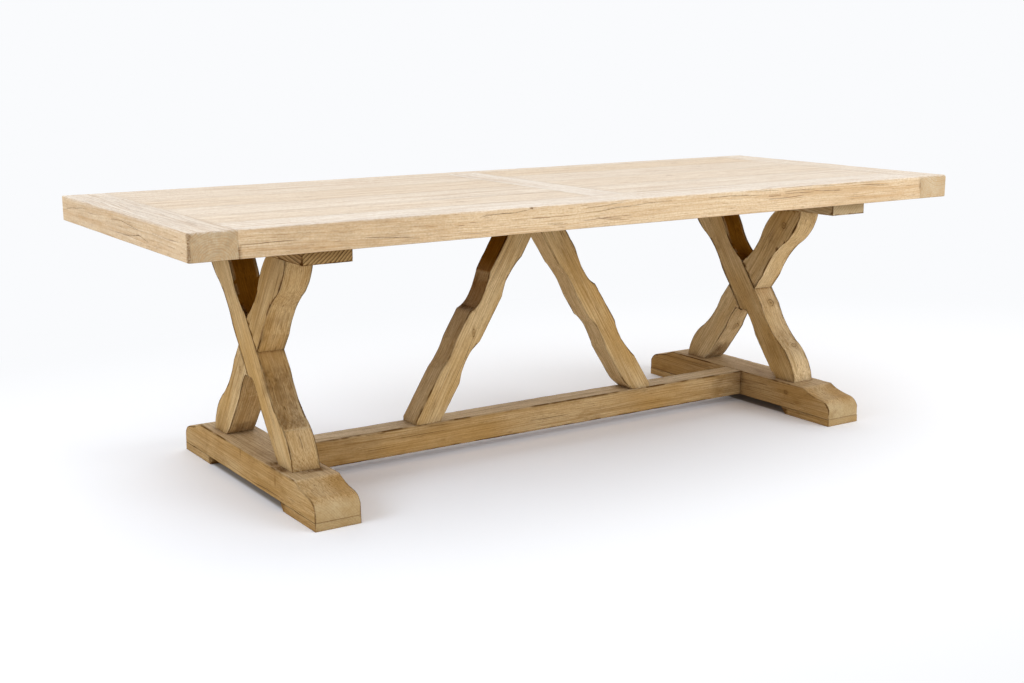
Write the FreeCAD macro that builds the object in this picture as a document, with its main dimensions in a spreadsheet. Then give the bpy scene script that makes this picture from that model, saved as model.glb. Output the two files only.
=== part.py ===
import FreeCAD, Part
import math
import os
import types

import Sketcher

# A sawbuck table: a plank top on two crossed trestles, a low stretcher and two wavy braces.
# X runs along the top, Y from front to back and Z up from the floor under the middle of the table.
# Lengths are in millimetres.

SIZES = {
    "table_height": 768,
    "top_length": 2500,
    "top_width": 970,
    "top_thickness": 68,
    "end_board_width": 120,
    "front_board_width": 135,
    "back_board_width": 60,
    "cross_board_width": 110,
    "cross_board_shift": 10,
    "left_front_seam": -200,
    "left_middle_seam": -12,
    "left_back_seam": 200,
    "right_front_seam": -150,
    "right_middle_seam": 66,
    "right_back_seam": 250,
    "tongue_thickness": 20,
    "tongue_length": 16,
    "tip_clearance": 1,
    "groove_lip": 40,
    "end_overhang": 370,
    "cleat_inset": 60,
    "cleat_width": 135,
    "cleat_thickness": 40,
    "centre_cleat_length": 460,
    "centre_cleat_width": 220,
    "foot_length": 884,
    "foot_width": 128,
    "foot_height": 81,
    "foot_shoulder": 117,
    "foot_nose_height": 30,
    "foot_nose_run": 37,
    "foot_nose_drop": 24,
    "foot_nose_radius": 42,
    "foot_cove_radius": 220,
    "pad_length": 210,
    "pad_thickness": 22,
    "pad_bevel": 18,
    "leg_spread": 430,
    "leg_width": 98,
    "leg_thickness": 80,
    "leg_waist_start": 252,
    "leg_swell_start": 112,
    "leg_waist_radius": 290,
    "leg_swell_radius": 165,
    "leg_tip_overrun": 33,
    "leg_tip_taper": 13,
    "leg_scoop_start": 272,
    "leg_scoop_end": 152,
    "leg_scoop_taper": 4,
    "leg_scoop_radius": 205,
    "leg_shoulder_end": 22,
    "leg_shoulder_taper": 11,
    "leg_shoulder_radius": 215,
    "leg_step_start": 287,
    "leg_step_length": 23,
    "leg_step_depth": 22,
    "leg_step_radius": 24,
    "leg_sweep_end": 187,
    "leg_sweep_depth": 13,
    "leg_sweep_radius": 220,
    "leg_heel_start": 62,
    "leg_heel_end": 4,
    "leg_heel_taper": 29,
    "leg_heel_radius": 100,
    "leg_tenon_width": 44,
    "leg_tenon_thickness": 30,
    "leg_foot_tenon": 45,
    "leg_top_tenon": 20,
    "mortise_clearance": 0.25,
    "stretcher_width": 80,
    "stretcher_height": 80,
    "stretcher_tenon_width": 44,
    "stretcher_tenon_height": 44,
    "stretcher_tenon_length": 36,
    "brace_left_foot_reach": 392,
    "brace_right_foot_reach": 385,
    "brace_left_top_reach": 51,
    "brace_right_top_reach": 29,
    "brace_meeting_shift": -10,
    "brace_width": 78,
    "brace_thickness": 80,
    "brace_toe": 39,
    "left_outer_low_start": -175,
    "left_outer_low_fall": 55,
    "left_outer_low_length": 100,
    "left_outer_low_depth": 5,
    "left_outer_high_start": 18,
    "left_outer_high_fall": 42,
    "left_outer_high_length": 130,
    "left_outer_high_depth": 15,
    "left_inner_low_start": -180,
    "left_inner_low_fall": 75,
    "left_inner_low_length": 135,
    "left_inner_low_depth": 14,
    "left_inner_high_start": 105,
    "left_inner_high_fall": 60,
    "left_inner_high_length": 130,
    "left_inner_high_depth": 11,
    "right_outer_low_start": -225,
    "right_outer_low_fall": 85,
    "right_outer_low_length": 145,
    "right_outer_low_depth": 11,
    "right_outer_high_start": 65,
    "right_outer_high_fall": 45,
    "right_outer_high_length": 140,
    "right_outer_high_depth": 13,
    "right_inner_low_start": -138,
    "right_inner_low_fall": 78,
    "right_inner_low_length": 128,
    "right_inner_low_depth": 10,
    "right_inner_high_start": 70,
    "right_inner_high_fall": 65,
    "right_inner_high_length": 125,
    "right_inner_high_depth": 6,
    "right_heel_length": 75,
    "right_heel_depth": 22,
    "brace_tenon_width": 36,
    "brace_tenon_thickness": 30,
    "brace_foot_tenon": 25,
    "brace_top_tenon": 20,
    "screw_radius": 3,
    "screw_head_radius": 6,
    "screw_head_height": 4,
    "screw_recess": 8,
    "screw_clearance": 0.2,
    "top_screw_length": 70,
    "top_screw_offset": 54,
    "centre_screw_offset": 25,
    "centre_screw_reach": 150,
    "leg_screw_length": 80,
    "stretcher_screw_length": 45,
    "stretcher_screw_inset": 18,
    "stretcher_screw_offset": 10,
    "brace_screw_length": 90,
    "pad_screw_length": 50,
    "pad_screw_end": 60,
    "pad_screw_spacing": 90,
}

doc = FreeCAD.newDocument("sawbuck_table")
sheet = doc.addObject("Spreadsheet::Sheet", "Sizes")
for row, (name, number) in enumerate(SIZES.items(), start=1):
    sheet.set(f"A{row}", name)
    sheet.set(f"B{row}", str(number))
    sheet.setAlias(f"B{row}", name)
doc.recompute()


class Size:
    """A length that carries its number and its formula in the sheet's names."""

    def __init__(self, number, formula):
        self.number = number
        self.formula = formula

    def __add__(self, other):
        return Size(self.number + number_of(other), f"({self.formula} + {formula_of(other)})")

    def __sub__(self, other):
        return Size(self.number - number_of(other), f"({self.formula} - {formula_of(other)})")

    def __mul__(self, factor):
        return Size(self.number * number_of(factor), f"({self.formula} * {formula_of(factor)})")

    def __truediv__(self, divisor):
        return Size(self.number / number_of(divisor), f"({self.formula} / {formula_of(divisor)})")

    def __neg__(self):
        return self * -1


def number_of(value):
    return value.number if isinstance(value, Size) else value


def formula_of(value):
    return value.formula if isinstance(value, Size) else str(value)


def diagonal(run, rise):
    """The length of a slanted line from its run and its rise."""
    return Size(math.hypot(run.number, rise.number), f"sqrt({run.formula}^2 + {rise.formula}^2)")


def slope(run, rise):
    """The angle of a slanted line above the level, in degrees."""
    angle = math.degrees(math.atan2(rise.number, run.number))
    return Size(angle, f"(atan({rise.formula} / {run.formula}) / 1 deg)")


S = types.SimpleNamespace(**{name: Size(sheet.get(name), f"Sizes.{name}") for name in SIZES})
ZERO = Size(0, "0")

# Levels and lines that several pieces share
TOP_UNDERSIDE = S.table_height - S.top_thickness
CLEAT_UNDERSIDE = TOP_UNDERSIDE - S.cleat_thickness
FOOT_TOP = S.pad_thickness + S.foot_height
RISE = CLEAT_UNDERSIDE - FOOT_TOP
TRESTLE_X = S.top_length / 2 - S.end_overhang
STRETCHER_HALF = TRESTLE_X - S.foot_width / 2
STRETCHER_UNDERSIDE = FOOT_TOP - S.stretcher_height
CLEAT_HALF = S.top_width / 2 - S.cleat_inset
BOARD_END = S.top_length / 2 - S.end_board_width
FIELD_FRONT = S.front_board_width - S.top_width / 2
FIELD_BACK = S.top_width / 2 - S.back_board_width
GROOVE_DEPTH = S.tongue_length + S.tip_clearance
TONGUE_LOW = (S.top_thickness - S.tongue_thickness) / 2
TONGUE_HIGH = (S.top_thickness + S.tongue_thickness) / 2
FRONT_BOARD_SCREW_Y = (FIELD_FRONT - CLEAT_HALF) / 2
PILOT_DEPTH = S.screw_recess + S.top_screw_length - S.cleat_thickness + S.tip_clearance

SIDES = (("left", -1), ("right", 1))
SCOOP_PARTS = ("start", "fall", "length", "depth")
BRACE_FEET = {-1: S.brace_left_foot_reach, 1: S.brace_right_foot_reach}
BRACE_TOPS = {-1: S.brace_left_top_reach, 1: S.brace_right_top_reach}
BRACE_TOP_SPOTS = [(BRACE_TOPS[side] * side, ZERO) for _, side in SIDES]
BRACE_FOOT_SPOTS = [(BRACE_FEET[side] * side, ZERO) for _, side in SIDES]
pieces = []


def bind(thing, prop, value):
    thing.setExpression(prop, formula_of(value))


def place(thing, x, y, z):
    for axis, value in (("x", x), ("y", y), ("z", z)):
        bind(thing, f"Placement.Base.{axis}", value)


def new_body(label, x, y, z):
    body = doc.addObject("PartDesign::Body", label)
    body.Label = label
    place(body, x, y, z)
    pieces.append(body)
    return body


def new_sketch(body, name, role, turn=ZERO, lift=ZERO):
    """A sketch on one of the body's own planes, turned in that plane and lifted off it."""
    drawing = body.newObject("Sketcher::SketchObject", f"{body.Name}_{name}")
    plane = next(item for item in body.Origin.OriginFeatures if item.Role == role)
    drawing.AttachmentSupport = (plane, [""])
    drawing.MapMode = "FlatFace"
    drawing.AttachmentOffset = FreeCAD.Placement(
        FreeCAD.Vector(), FreeCAD.Rotation(FreeCAD.Vector(0, 0, 1), 1))
    bind(drawing, "AttachmentOffset.Rotation.Angle", turn)
    bind(drawing, "AttachmentOffset.Base.z", lift)
    return drawing


def arc_between(start, end, radius, turn):
    """The short arc from start to end that turns left (turn 1) or right (turn -1)."""
    chord = end - start
    across = FreeCAD.Vector(-chord.y, chord.x, 0).normalize()
    reach = math.sqrt(radius**2 - (chord.Length / 2)**2)
    centre = (start + end) / 2 + across * reach * turn
    first, last = (start, end) if turn > 0 else (end, start)
    angles = [math.atan2(spot.y - centre.y, spot.x - centre.x) for spot in (first, last)]
    if angles[1] < angles[0]:
        angles[1] += 2 * math.pi
    circle = Part.Circle(centre, FreeCAD.Vector(0, 0, 1), radius)
    return Part.ArcOfCircle(circle, angles[0], angles[1])


def draw_loop(drawing, corners):
    """A closed loop. A corner is (x, y), or (x, y, radius, turn) where an arc leads on from it."""
    spots = [FreeCAD.Vector(number_of(c[0]), number_of(c[1]), 0) for c in corners]
    edges = []
    for corner, start, end in zip(corners, spots, spots[1:] + spots[:1]):
        if len(corner) == 2:
            edges.append((drawing.addGeometry(Part.LineSegment(start, end)), 1, 2))
        else:
            arc = arc_between(start, end, number_of(corner[2]), corner[3])
            first, last = (1, 2) if corner[3] > 0 else (2, 1)
            edges.append((drawing.addGeometry(arc), first, last))
    joints = []
    for (edge, _, last), (following, first, _) in zip(edges, edges[1:] + edges[:1]):
        joints.append(Sketcher.Constraint("Coincident", edge, last, following, first))
    drawing.addConstraint(joints)
    for corner, (edge, first, _) in zip(corners, edges):
        fix_point(drawing, edge, first, corner[0], corner[1])
        if len(corner) > 2:
            rule = drawing.addConstraint(Sketcher.Constraint("Radius", edge, number_of(corner[2])))
            bind(drawing, f"Constraints[{rule}]", corner[2])


def draw_box(drawing, x0, y0, x1, y1):
    draw_loop(drawing, [(x0, y0), (x1, y0), (x1, y1), (x0, y1)])


def draw_circle(drawing, x, y, radius):
    centre = FreeCAD.Vector(number_of(x), number_of(y), 0)
    circle = drawing.addGeometry(Part.Circle(centre, FreeCAD.Vector(0, 0, 1), radius.number))
    fix_point(drawing, circle, 3, x, y)
    rule = drawing.addConstraint(Sketcher.Constraint("Radius", circle, radius.number))
    bind(drawing, f"Constraints[{rule}]", radius)


def fix_point(drawing, edge, end, x, y):
    """Ties one point of an edge to its distances from the sketch's origin."""
    for kind, value in (("DistanceX", x), ("DistanceY", y)):
        rule = drawing.addConstraint(Sketcher.Constraint(kind, -1, 1, edge, end, number_of(value)))
        bind(drawing, f"Constraints[{rule}]", value)


def add_pad(body, drawing, length):
    """Adds the sketch's shape, half of the length to each side of its plane."""
    pad = body.newObject("PartDesign::Pad", f"{drawing.Name}_pad")
    pad.Profile = drawing
    pad.SideType = "Symmetric"
    bind(pad, "Length", length)


def add_cut(body, drawing, length, side="Symmetric", along=True):
    """Cuts the sketch's shape away, to both sides or along the sketch's own direction."""
    pocket = body.newObject("PartDesign::Pocket", f"{drawing.Name}_cut")
    pocket.Profile = drawing
    pocket.SideType = side
    pocket.Reversed = along
    bind(pocket, "Length", length)


def drill(body, name, spots, radius, level, depth, up=True):
    """Upright round holes from a level of the body, up or down."""
    drawing = new_sketch(body, name, "XY_Plane", lift=level)
    for x, y in spots:
        draw_circle(drawing, x, y, radius)
    add_cut(body, drawing, depth, "One side", up)


def drill_for_screws(body, name, spots, face, thickness, up=True):
    """A head recess and a clearance hole for each screw, from a face through a thickness."""
    drill(body, f"{name}_recess", spots, S.screw_head_radius + S.screw_clearance, face, S.screw_recess, up)
    drill(body, f"{name}_hole", spots, S.screw_radius + S.screw_clearance, face, thickness, up)


def drill_pilots(body, name, spots, face, depth, up=True):
    drill(body, f"{name}_pilot", spots, S.screw_radius + S.screw_clearance, face, depth, up)


# The top's boards


def cut_end_tongues(body, role, half, reach):
    """Cuts shoulders above and below both ends, so that a tongue is left past the half length."""
    tip = half + S.tongue_length
    drawing = new_sketch(body, "shoulders", role)
    for sign in (-1, 1):
        draw_box(drawing, half * sign, ZERO, tip * sign, TONGUE_LOW)
        draw_box(drawing, half * sign, TONGUE_HIGH, tip * sign, S.top_thickness)
    add_cut(body, drawing, reach)


def board_section(width, front, back):
    """A board's section. Each edge stands out as a tongue (over 0) or is grooved (under 0)."""
    corners = [(ZERO, ZERO), (width, ZERO)]
    if back is not None:
        corners += [(width, TONGUE_LOW), (width + back, TONGUE_LOW)]
        corners += [(width + back, TONGUE_HIGH), (width, TONGUE_HIGH)]
    corners += [(width, S.top_thickness), (ZERO, S.top_thickness)]
    if front is not None:
        corners += [(ZERO, TONGUE_HIGH), (-front, TONGUE_HIGH)]
        corners += [(-front, TONGUE_LOW), (ZERO, TONGUE_LOW)]
    return corners


def long_board(label, x_mid, half, y_front, y_back, front, back):
    """A board along X with tongues on both ends and a tongue or groove along its edges."""
    body = new_body(label, x_mid, y_front, TOP_UNDERSIDE)
    section = new_sketch(body, "section", "YZ_Plane")
    width = y_back - y_front
    draw_loop(section, board_section(width, front, back))
    add_pad(body, section, (half + S.tongue_length) * 2)
    cut_end_tongues(body, "XZ_Plane", half, (width + S.tongue_length) * 4)
    return body


def edge_board(label, y_front, y_back, front, back, lip_y):
    """A board along the whole front or back, with its end tongues stopped short of the outside."""
    body = long_board(label, ZERO, BOARD_END, y_front, y_back, front, back)
    stops = new_sketch(body, "tongue_stops", "XY_Plane")
    for sign in (-1, 1):
        tip = (BOARD_END + S.tongue_length) * sign
        draw_box(stops, BOARD_END * sign, lip_y, tip, lip_y + S.groove_lip)
    add_cut(body, stops, S.top_thickness * 2)
    return body


def front_edge_board():
    body = edge_board("front_edge_board", -S.top_width / 2, FIELD_FRONT, None, -GROOVE_DEPTH, ZERO)
    inset = FRONT_BOARD_SCREW_Y + S.top_width / 2
    spots = [(x, inset) for x in cleat_screw_xs(-1) + cleat_screw_xs(1)]
    drill_pilots(body, "cleat", spots, ZERO, PILOT_DEPTH)


def back_edge_board():
    lip_y = S.back_board_width - S.groove_lip
    edge_board("back_edge_board", FIELD_BACK, S.top_width / 2, -GROOVE_DEPTH, None, lip_y)


def breadboard_end(name, side):
    x_mid = (S.top_length - S.end_board_width) / 2 * side
    body = new_body(f"breadboard_end_{name}", x_mid, ZERO, TOP_UNDERSIDE)
    half = S.end_board_width / 2
    section = new_sketch(body, "section", "XZ_Plane")
    draw_box(section, -half, ZERO, half, S.top_thickness)
    add_pad(body, section, S.top_width)
    groove = new_sketch(body, "groove", "XZ_Plane")
    draw_box(groove, half * -side, TONGUE_LOW, (half - GROOVE_DEPTH) * -side, TONGUE_HIGH)
    add_cut(body, groove, S.top_width - S.groove_lip * 2)


def centre_cross_board():
    y_mid = (FIELD_FRONT + FIELD_BACK) / 2
    half_depth = (FIELD_BACK - FIELD_FRONT) / 2
    half = S.cross_board_width / 2
    body = new_body("centre_cross_board", S.cross_board_shift, y_mid, TOP_UNDERSIDE)
    section = new_sketch(body, "section", "XZ_Plane")
    corners = board_section(S.cross_board_width, -GROOVE_DEPTH, -GROOVE_DEPTH)
    draw_loop(section, [(x - half, z) for x, z in corners])
    add_pad(body, section, (half_depth + S.tongue_length) * 2)
    cut_end_tongues(body, "YZ_Plane", half_depth, S.cross_board_width * 2)
    spots = [(x - S.cross_board_shift, y - y_mid) for x, y in centre_screw_spots()]
    drill_pilots(body, "cleat", spots, ZERO, PILOT_DEPTH)


def field_edges(name):
    """The lines across the top, from front to back, between which one side's planks lie."""
    seams = {
        "left": (S.left_front_seam, S.left_middle_seam, S.left_back_seam),
        "right": (S.right_front_seam, S.right_middle_seam, S.right_back_seam),
    }
    return (FIELD_FRONT, *seams[name], FIELD_BACK)


def plank_lines(name):
    """The front and back line of each of one side's planks."""
    edges = field_edges(name)
    return list(zip(edges, edges[1:]))


def field_planks(name, side):
    inner = S.cross_board_shift + S.cross_board_width / 2 * side
    outer = BOARD_END * side
    x_mid = (inner + outer) / 2
    half = (outer - inner) / 2 * side
    for count, (y_front, y_back) in enumerate(plank_lines(name), start=1):
        front = S.tongue_length if count == 1 else -GROOVE_DEPTH
        label = f"{name}_field_plank_{count}"
        body = long_board(label, x_mid, half, y_front, y_back, front, S.tongue_length)
        spots = [(x - x_mid, (y_back - y_front) / 2) for x in cleat_screw_xs(side)]
        drill_pilots(body, "cleat", spots, ZERO, PILOT_DEPTH)


# Screw places under the top


def cleat_screw_xs(side):
    middle = TRESTLE_X * side
    return [middle - S.top_screw_offset, middle + S.top_screw_offset]


def cleat_screw_spots(name, side):
    """Two screws through the cleat into the front board and into each plank."""
    ys = [FRONT_BOARD_SCREW_Y] + [(front + back) / 2 for front, back in plank_lines(name)]
    return [(x, y) for y in ys for x in cleat_screw_xs(side)]


def centre_screw_spots():
    xs = [S.cross_board_shift + S.centre_screw_offset * sign for sign in (-1, 1)]
    return [(x, S.centre_screw_reach * sign) for sign in (-1, 1) for x in xs]


# Cleats


def cut_mortises(body, spots, x_size, y_size, level, depth, up):
    """Square mortises for tenons of a size, with a side clearance and room past the tip."""
    drawing = new_sketch(body, "mortises", "XY_Plane", lift=level)
    half_x = x_size / 2 + S.mortise_clearance
    half_y = y_size / 2 + S.mortise_clearance
    for x, y in spots:
        draw_box(drawing, x - half_x, y - half_y, x + half_x, y + half_y)
    add_cut(body, drawing, depth + S.tip_clearance, "One side", up)


def cleat_block(label, x_mid, width, length):
    body = new_body(label, x_mid, ZERO, CLEAT_UNDERSIDE)
    section = new_sketch(body, "section", "XZ_Plane")
    draw_box(section, -width / 2, ZERO, width / 2, S.cleat_thickness)
    add_pad(body, section, length)
    return body


def trestle_cleat(name, side):
    x_mid = TRESTLE_X * side
    body = cleat_block(f"cleat_{name}", x_mid, S.cleat_width, CLEAT_HALF * 2)
    legs = [(ZERO, S.leg_spread / 2 * sign) for sign in (-1, 1)]
    cut_mortises(body, legs, S.leg_tenon_thickness, S.leg_tenon_width, ZERO, S.leg_top_tenon, True)
    spots = [(x - x_mid, y) for x, y in cleat_screw_spots(name, side)]
    drill_for_screws(body, "top", spots, ZERO, S.cleat_thickness)
    drill_for_screws(body, "leg", legs, S.cleat_thickness, S.cleat_thickness, False)


def centre_cleat():
    body = cleat_block("centre_cleat", ZERO, S.centre_cleat_width, S.centre_cleat_length)
    cut_mortises(body, BRACE_TOP_SPOTS, S.brace_tenon_width, S.brace_tenon_thickness, ZERO,
                 S.brace_top_tenon, True)
    drill_for_screws(body, "top", centre_screw_spots(), ZERO, S.cleat_thickness)
    drill_for_screws(body, "brace", BRACE_TOP_SPOTS, S.cleat_thickness, S.cleat_thickness, False)


# Trestles


def leg_outline(flip):
    """The sawn outline along the leg, from its middle: swells at the tips, scoops at the crossing."""
    half = diagonal(S.leg_spread, RISE) / 2
    edge = S.leg_width / 2
    tip = half + S.leg_tip_overrun
    outer = [
        (half - S.leg_waist_start, edge, S.leg_waist_radius, 1),
        (half - S.leg_swell_start, edge, S.leg_swell_radius, -1),
        (tip, edge - S.leg_tip_taper),
    ]
    heel = [
        (half - S.leg_heel_end, S.leg_heel_taper - edge, S.leg_heel_radius, -1),
        (half - S.leg_heel_start, S.leg_sweep_depth - edge),
        (half - S.leg_sweep_end, S.leg_sweep_depth - edge, S.leg_sweep_radius, 1),
        (half - S.leg_step_start + S.leg_step_length, S.leg_step_depth - edge, S.leg_step_radius, 1),
        (half - S.leg_step_start, -edge),
    ]
    far_outer = [
        (S.leg_waist_start - half, -edge, S.leg_waist_radius, 1),
        (S.leg_swell_start - half, -edge, S.leg_swell_radius, -1),
        (-tip, S.leg_tip_taper - edge),
    ]
    shoulder = [
        (S.leg_shoulder_end - half, edge - S.leg_shoulder_taper, S.leg_shoulder_radius, -1),
        (S.leg_scoop_end - half, edge - S.leg_scoop_taper, S.leg_scoop_radius, 1),
        (S.leg_scoop_start - half, edge),
    ]
    return flipped(outer + heel + far_outer + shoulder, flip)


def flipped(corners, flip):
    """The same outline, mirrored about its long axis where flip is -1."""
    return [(c[0], c[1] * flip, *((c[2], c[3] * flip) if len(c) > 2 else ())) for c in corners]


def leg(label, trestle_side, foot_side):
    """A leg from its foot at the front (-1) or back (1) to the cleat on the other side."""
    half_rise = RISE / 2
    body = new_body(label, TRESTLE_X * trestle_side, ZERO, FOOT_TOP + half_rise)
    lean = slope(S.leg_spread, RISE)
    turns = {1: -lean, -1: lean - 180}

    board = new_sketch(body, "board", "YZ_Plane", turns[foot_side])
    draw_loop(board, leg_outline(foot_side))
    add_pad(body, board, S.leg_thickness)

    ends = new_sketch(body, "saw_cuts", "YZ_Plane")
    for sign in (-1, 1):
        far = half_rise + S.leg_width
        draw_box(ends, -S.leg_spread, half_rise * sign, S.leg_spread, far * sign)
    add_cut(body, ends, S.leg_thickness * 2)

    tenons = new_sketch(body, "tenons", "YZ_Plane")
    for sign, length in ((1, S.leg_top_tenon), (-1, S.leg_foot_tenon)):
        middle = S.leg_spread / 2 * foot_side * -sign
        draw_box(tenons, middle - S.leg_tenon_width / 2, half_rise * sign,
                 middle + S.leg_tenon_width / 2, (half_rise + length) * sign)
    add_pad(body, tenons, S.leg_tenon_thickness)

    lap = new_sketch(body, "half_lap", "YZ_Plane", turns[-foot_side])
    draw_box(lap, -S.leg_width * 2, -S.leg_width / 2, S.leg_width * 2, S.leg_width / 2)
    add_cut(body, lap, S.leg_thickness, "One side", foot_side < 0)

    seat = S.cleat_thickness - S.screw_recess - S.leg_top_tenon
    top_spot = [(ZERO, S.leg_spread / 2 * -foot_side)]
    drill_pilots(body, "top", top_spot, half_rise + S.leg_top_tenon,
                 S.top_screw_length - seat + S.tip_clearance, False)
    web = S.foot_height - S.leg_foot_tenon - S.screw_recess
    foot_spot = [(ZERO, S.leg_spread / 2 * foot_side)]
    drill_pilots(body, "foot", foot_spot, -half_rise - S.leg_foot_tenon,
                 S.leg_screw_length - web + S.tip_clearance)


def foot(name, side):
    body = new_body(f"foot_{name}", TRESTLE_X * side, ZERO, S.pad_thickness)
    end = S.foot_length / 2
    nose = S.foot_height - S.foot_nose_drop
    profile = new_sketch(body, "profile", "YZ_Plane")
    draw_loop(profile, [
        (-end, ZERO),
        (end, ZERO),
        (end, S.foot_nose_height, S.foot_nose_radius, 1),
        (end - S.foot_nose_run, nose, S.foot_cove_radius, -1),
        (end - S.foot_shoulder, S.foot_height),
        (S.foot_shoulder - end, S.foot_height, S.foot_cove_radius, -1),
        (S.foot_nose_run - end, nose, S.foot_nose_radius, 1),
        (-end, S.foot_nose_height),
    ])
    add_pad(body, profile, S.foot_width)

    legs = [(ZERO, S.leg_spread / 2 * sign) for sign in (-1, 1)]
    cut_mortises(body, legs, S.leg_tenon_thickness, S.leg_tenon_width, S.foot_height,
                 S.leg_foot_tenon, False)
    drill_for_screws(body, "leg", legs, ZERO, S.foot_height)

    face = S.foot_width / 2
    middle = S.foot_height - S.stretcher_height / 2
    half_z = S.stretcher_tenon_height / 2 + S.mortise_clearance
    floor = face - S.stretcher_tenon_length - S.tip_clearance
    socket = new_sketch(body, "stretcher_mortise", "XZ_Plane")
    draw_box(socket, face * -side, middle - half_z, floor * -side, middle + half_z)
    add_cut(body, socket, S.stretcher_tenon_width + S.mortise_clearance * 2)
    spots = [(x - TRESTLE_X * side, y) for x, y in stretcher_screw_spots(side)]
    drill_for_screws(body, "stretcher", spots, ZERO, middle)

    pads = [(ZERO, y) for y in pad_screw_ys(-1) + pad_screw_ys(1)]
    drill_pilots(body, "pad", pads, ZERO,
                 S.screw_recess + S.pad_screw_length - S.pad_thickness + S.tip_clearance)


def foot_pad(name, side, end_name, end_side):
    body = new_body(f"foot_pad_{name}_{end_name}", TRESTLE_X * side, ZERO, ZERO)
    end = S.foot_length / 2
    profile = new_sketch(body, "profile", "YZ_Plane")
    draw_loop(profile, [
        (end * end_side, ZERO),
        (end * end_side, S.pad_thickness),
        ((end - S.pad_length) * end_side, S.pad_thickness),
        ((end - S.pad_length + S.pad_bevel) * end_side, ZERO),
    ])
    add_pad(body, profile, S.foot_width)
    drill_for_screws(body, "foot", [(ZERO, y) for y in pad_screw_ys(end_side)], ZERO, S.pad_thickness)


def pad_screw_ys(end_side):
    outer = S.foot_length / 2 - S.pad_screw_end
    return [outer * end_side, (outer - S.pad_screw_spacing) * end_side]


# Stretcher and braces


def stretcher_screw_spots(side):
    x = (STRETCHER_HALF + S.stretcher_screw_inset) * side
    return [(x, S.stretcher_screw_offset * sign) for sign in (-1, 1)]


def stretcher():
    body = new_body("stretcher", ZERO, ZERO, STRETCHER_UNDERSIDE)
    half_y = S.stretcher_width / 2
    section = new_sketch(body, "section", "YZ_Plane")
    draw_box(section, -half_y, ZERO, half_y, S.stretcher_height)
    add_pad(body, section, STRETCHER_HALF * 2)

    middle = S.stretcher_height / 2
    half_z = S.stretcher_tenon_height / 2
    tenon = new_sketch(body, "tenons", "XZ_Plane")
    for sign in (-1, 1):
        tip = STRETCHER_HALF + S.stretcher_tenon_length
        draw_box(tenon, STRETCHER_HALF * sign, middle - half_z, tip * sign, middle + half_z)
    add_pad(body, tenon, S.stretcher_tenon_width)

    cut_mortises(body, BRACE_FOOT_SPOTS, S.brace_tenon_width, S.brace_tenon_thickness,
                 S.stretcher_height, S.brace_foot_tenon, False)
    drill_for_screws(body, "brace", BRACE_FOOT_SPOTS, ZERO, S.stretcher_height)
    low = middle - half_z
    foot_underside = S.stretcher_height - S.foot_height
    depth = foot_underside + S.screw_recess + S.stretcher_screw_length - low + S.tip_clearance
    drill_pilots(body, "foot", stretcher_screw_spots(-1) + stretcher_screw_spots(1), low, depth)


def drop_radius(run, depth):
    """The radius of an arc that starts level and drops by depth over run."""
    return (run * run + depth * depth) / (depth * 2)


def scoop(name, edge_side, middle):
    """A hollow in the outer (1) or inner (-1) edge: two arcs that meet level at its deepest point."""
    start, fall, length, depth = (getattr(S, f"{name}_{part}") for part in SCOOP_PARTS)
    edge = S.brace_width / 2
    low = middle + start
    ends = [(low, fall), (low + length, length - fall)]
    (first, run_in), (last, run_out) = ends if edge_side > 0 else reversed(ends)
    return [
        (first, edge * edge_side, drop_radius(run_in, depth), 1),
        (low + fall, (edge - depth) * edge_side, drop_radius(run_out, depth), 1),
        (last, edge * edge_side),
    ]


def brace_foot_end(side):
    """The inner edge down to the foot: straight on the left brace, a rounded heel on the right one."""
    edge = S.brace_width / 2
    low = -S.brace_width
    if side < 0:
        return [(low, -edge)]
    heel = -(edge - S.right_heel_depth)
    radius = drop_radius(S.right_heel_length, S.right_heel_depth)
    return [(S.right_heel_length, -edge, radius, -1), (ZERO, heel), (low, heel)]


def brace_outline(name, side, run):
    """The wavy outline along the brace, with its hollows set out from its middle."""
    length = diagonal(run, RISE)
    middle = length / 2
    edge = S.brace_width / 2
    high = length + S.brace_width
    outer = scoop(f"{name}_outer_low", 1, middle) + scoop(f"{name}_outer_high", 1, middle)
    inner = scoop(f"{name}_inner_high", -1, middle) + scoop(f"{name}_inner_low", -1, middle)
    ends = [(high, edge), (high, -edge)]
    return flipped([(-S.brace_width, edge), *outer, *ends, *inner, *brace_foot_end(side)], -side)


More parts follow.
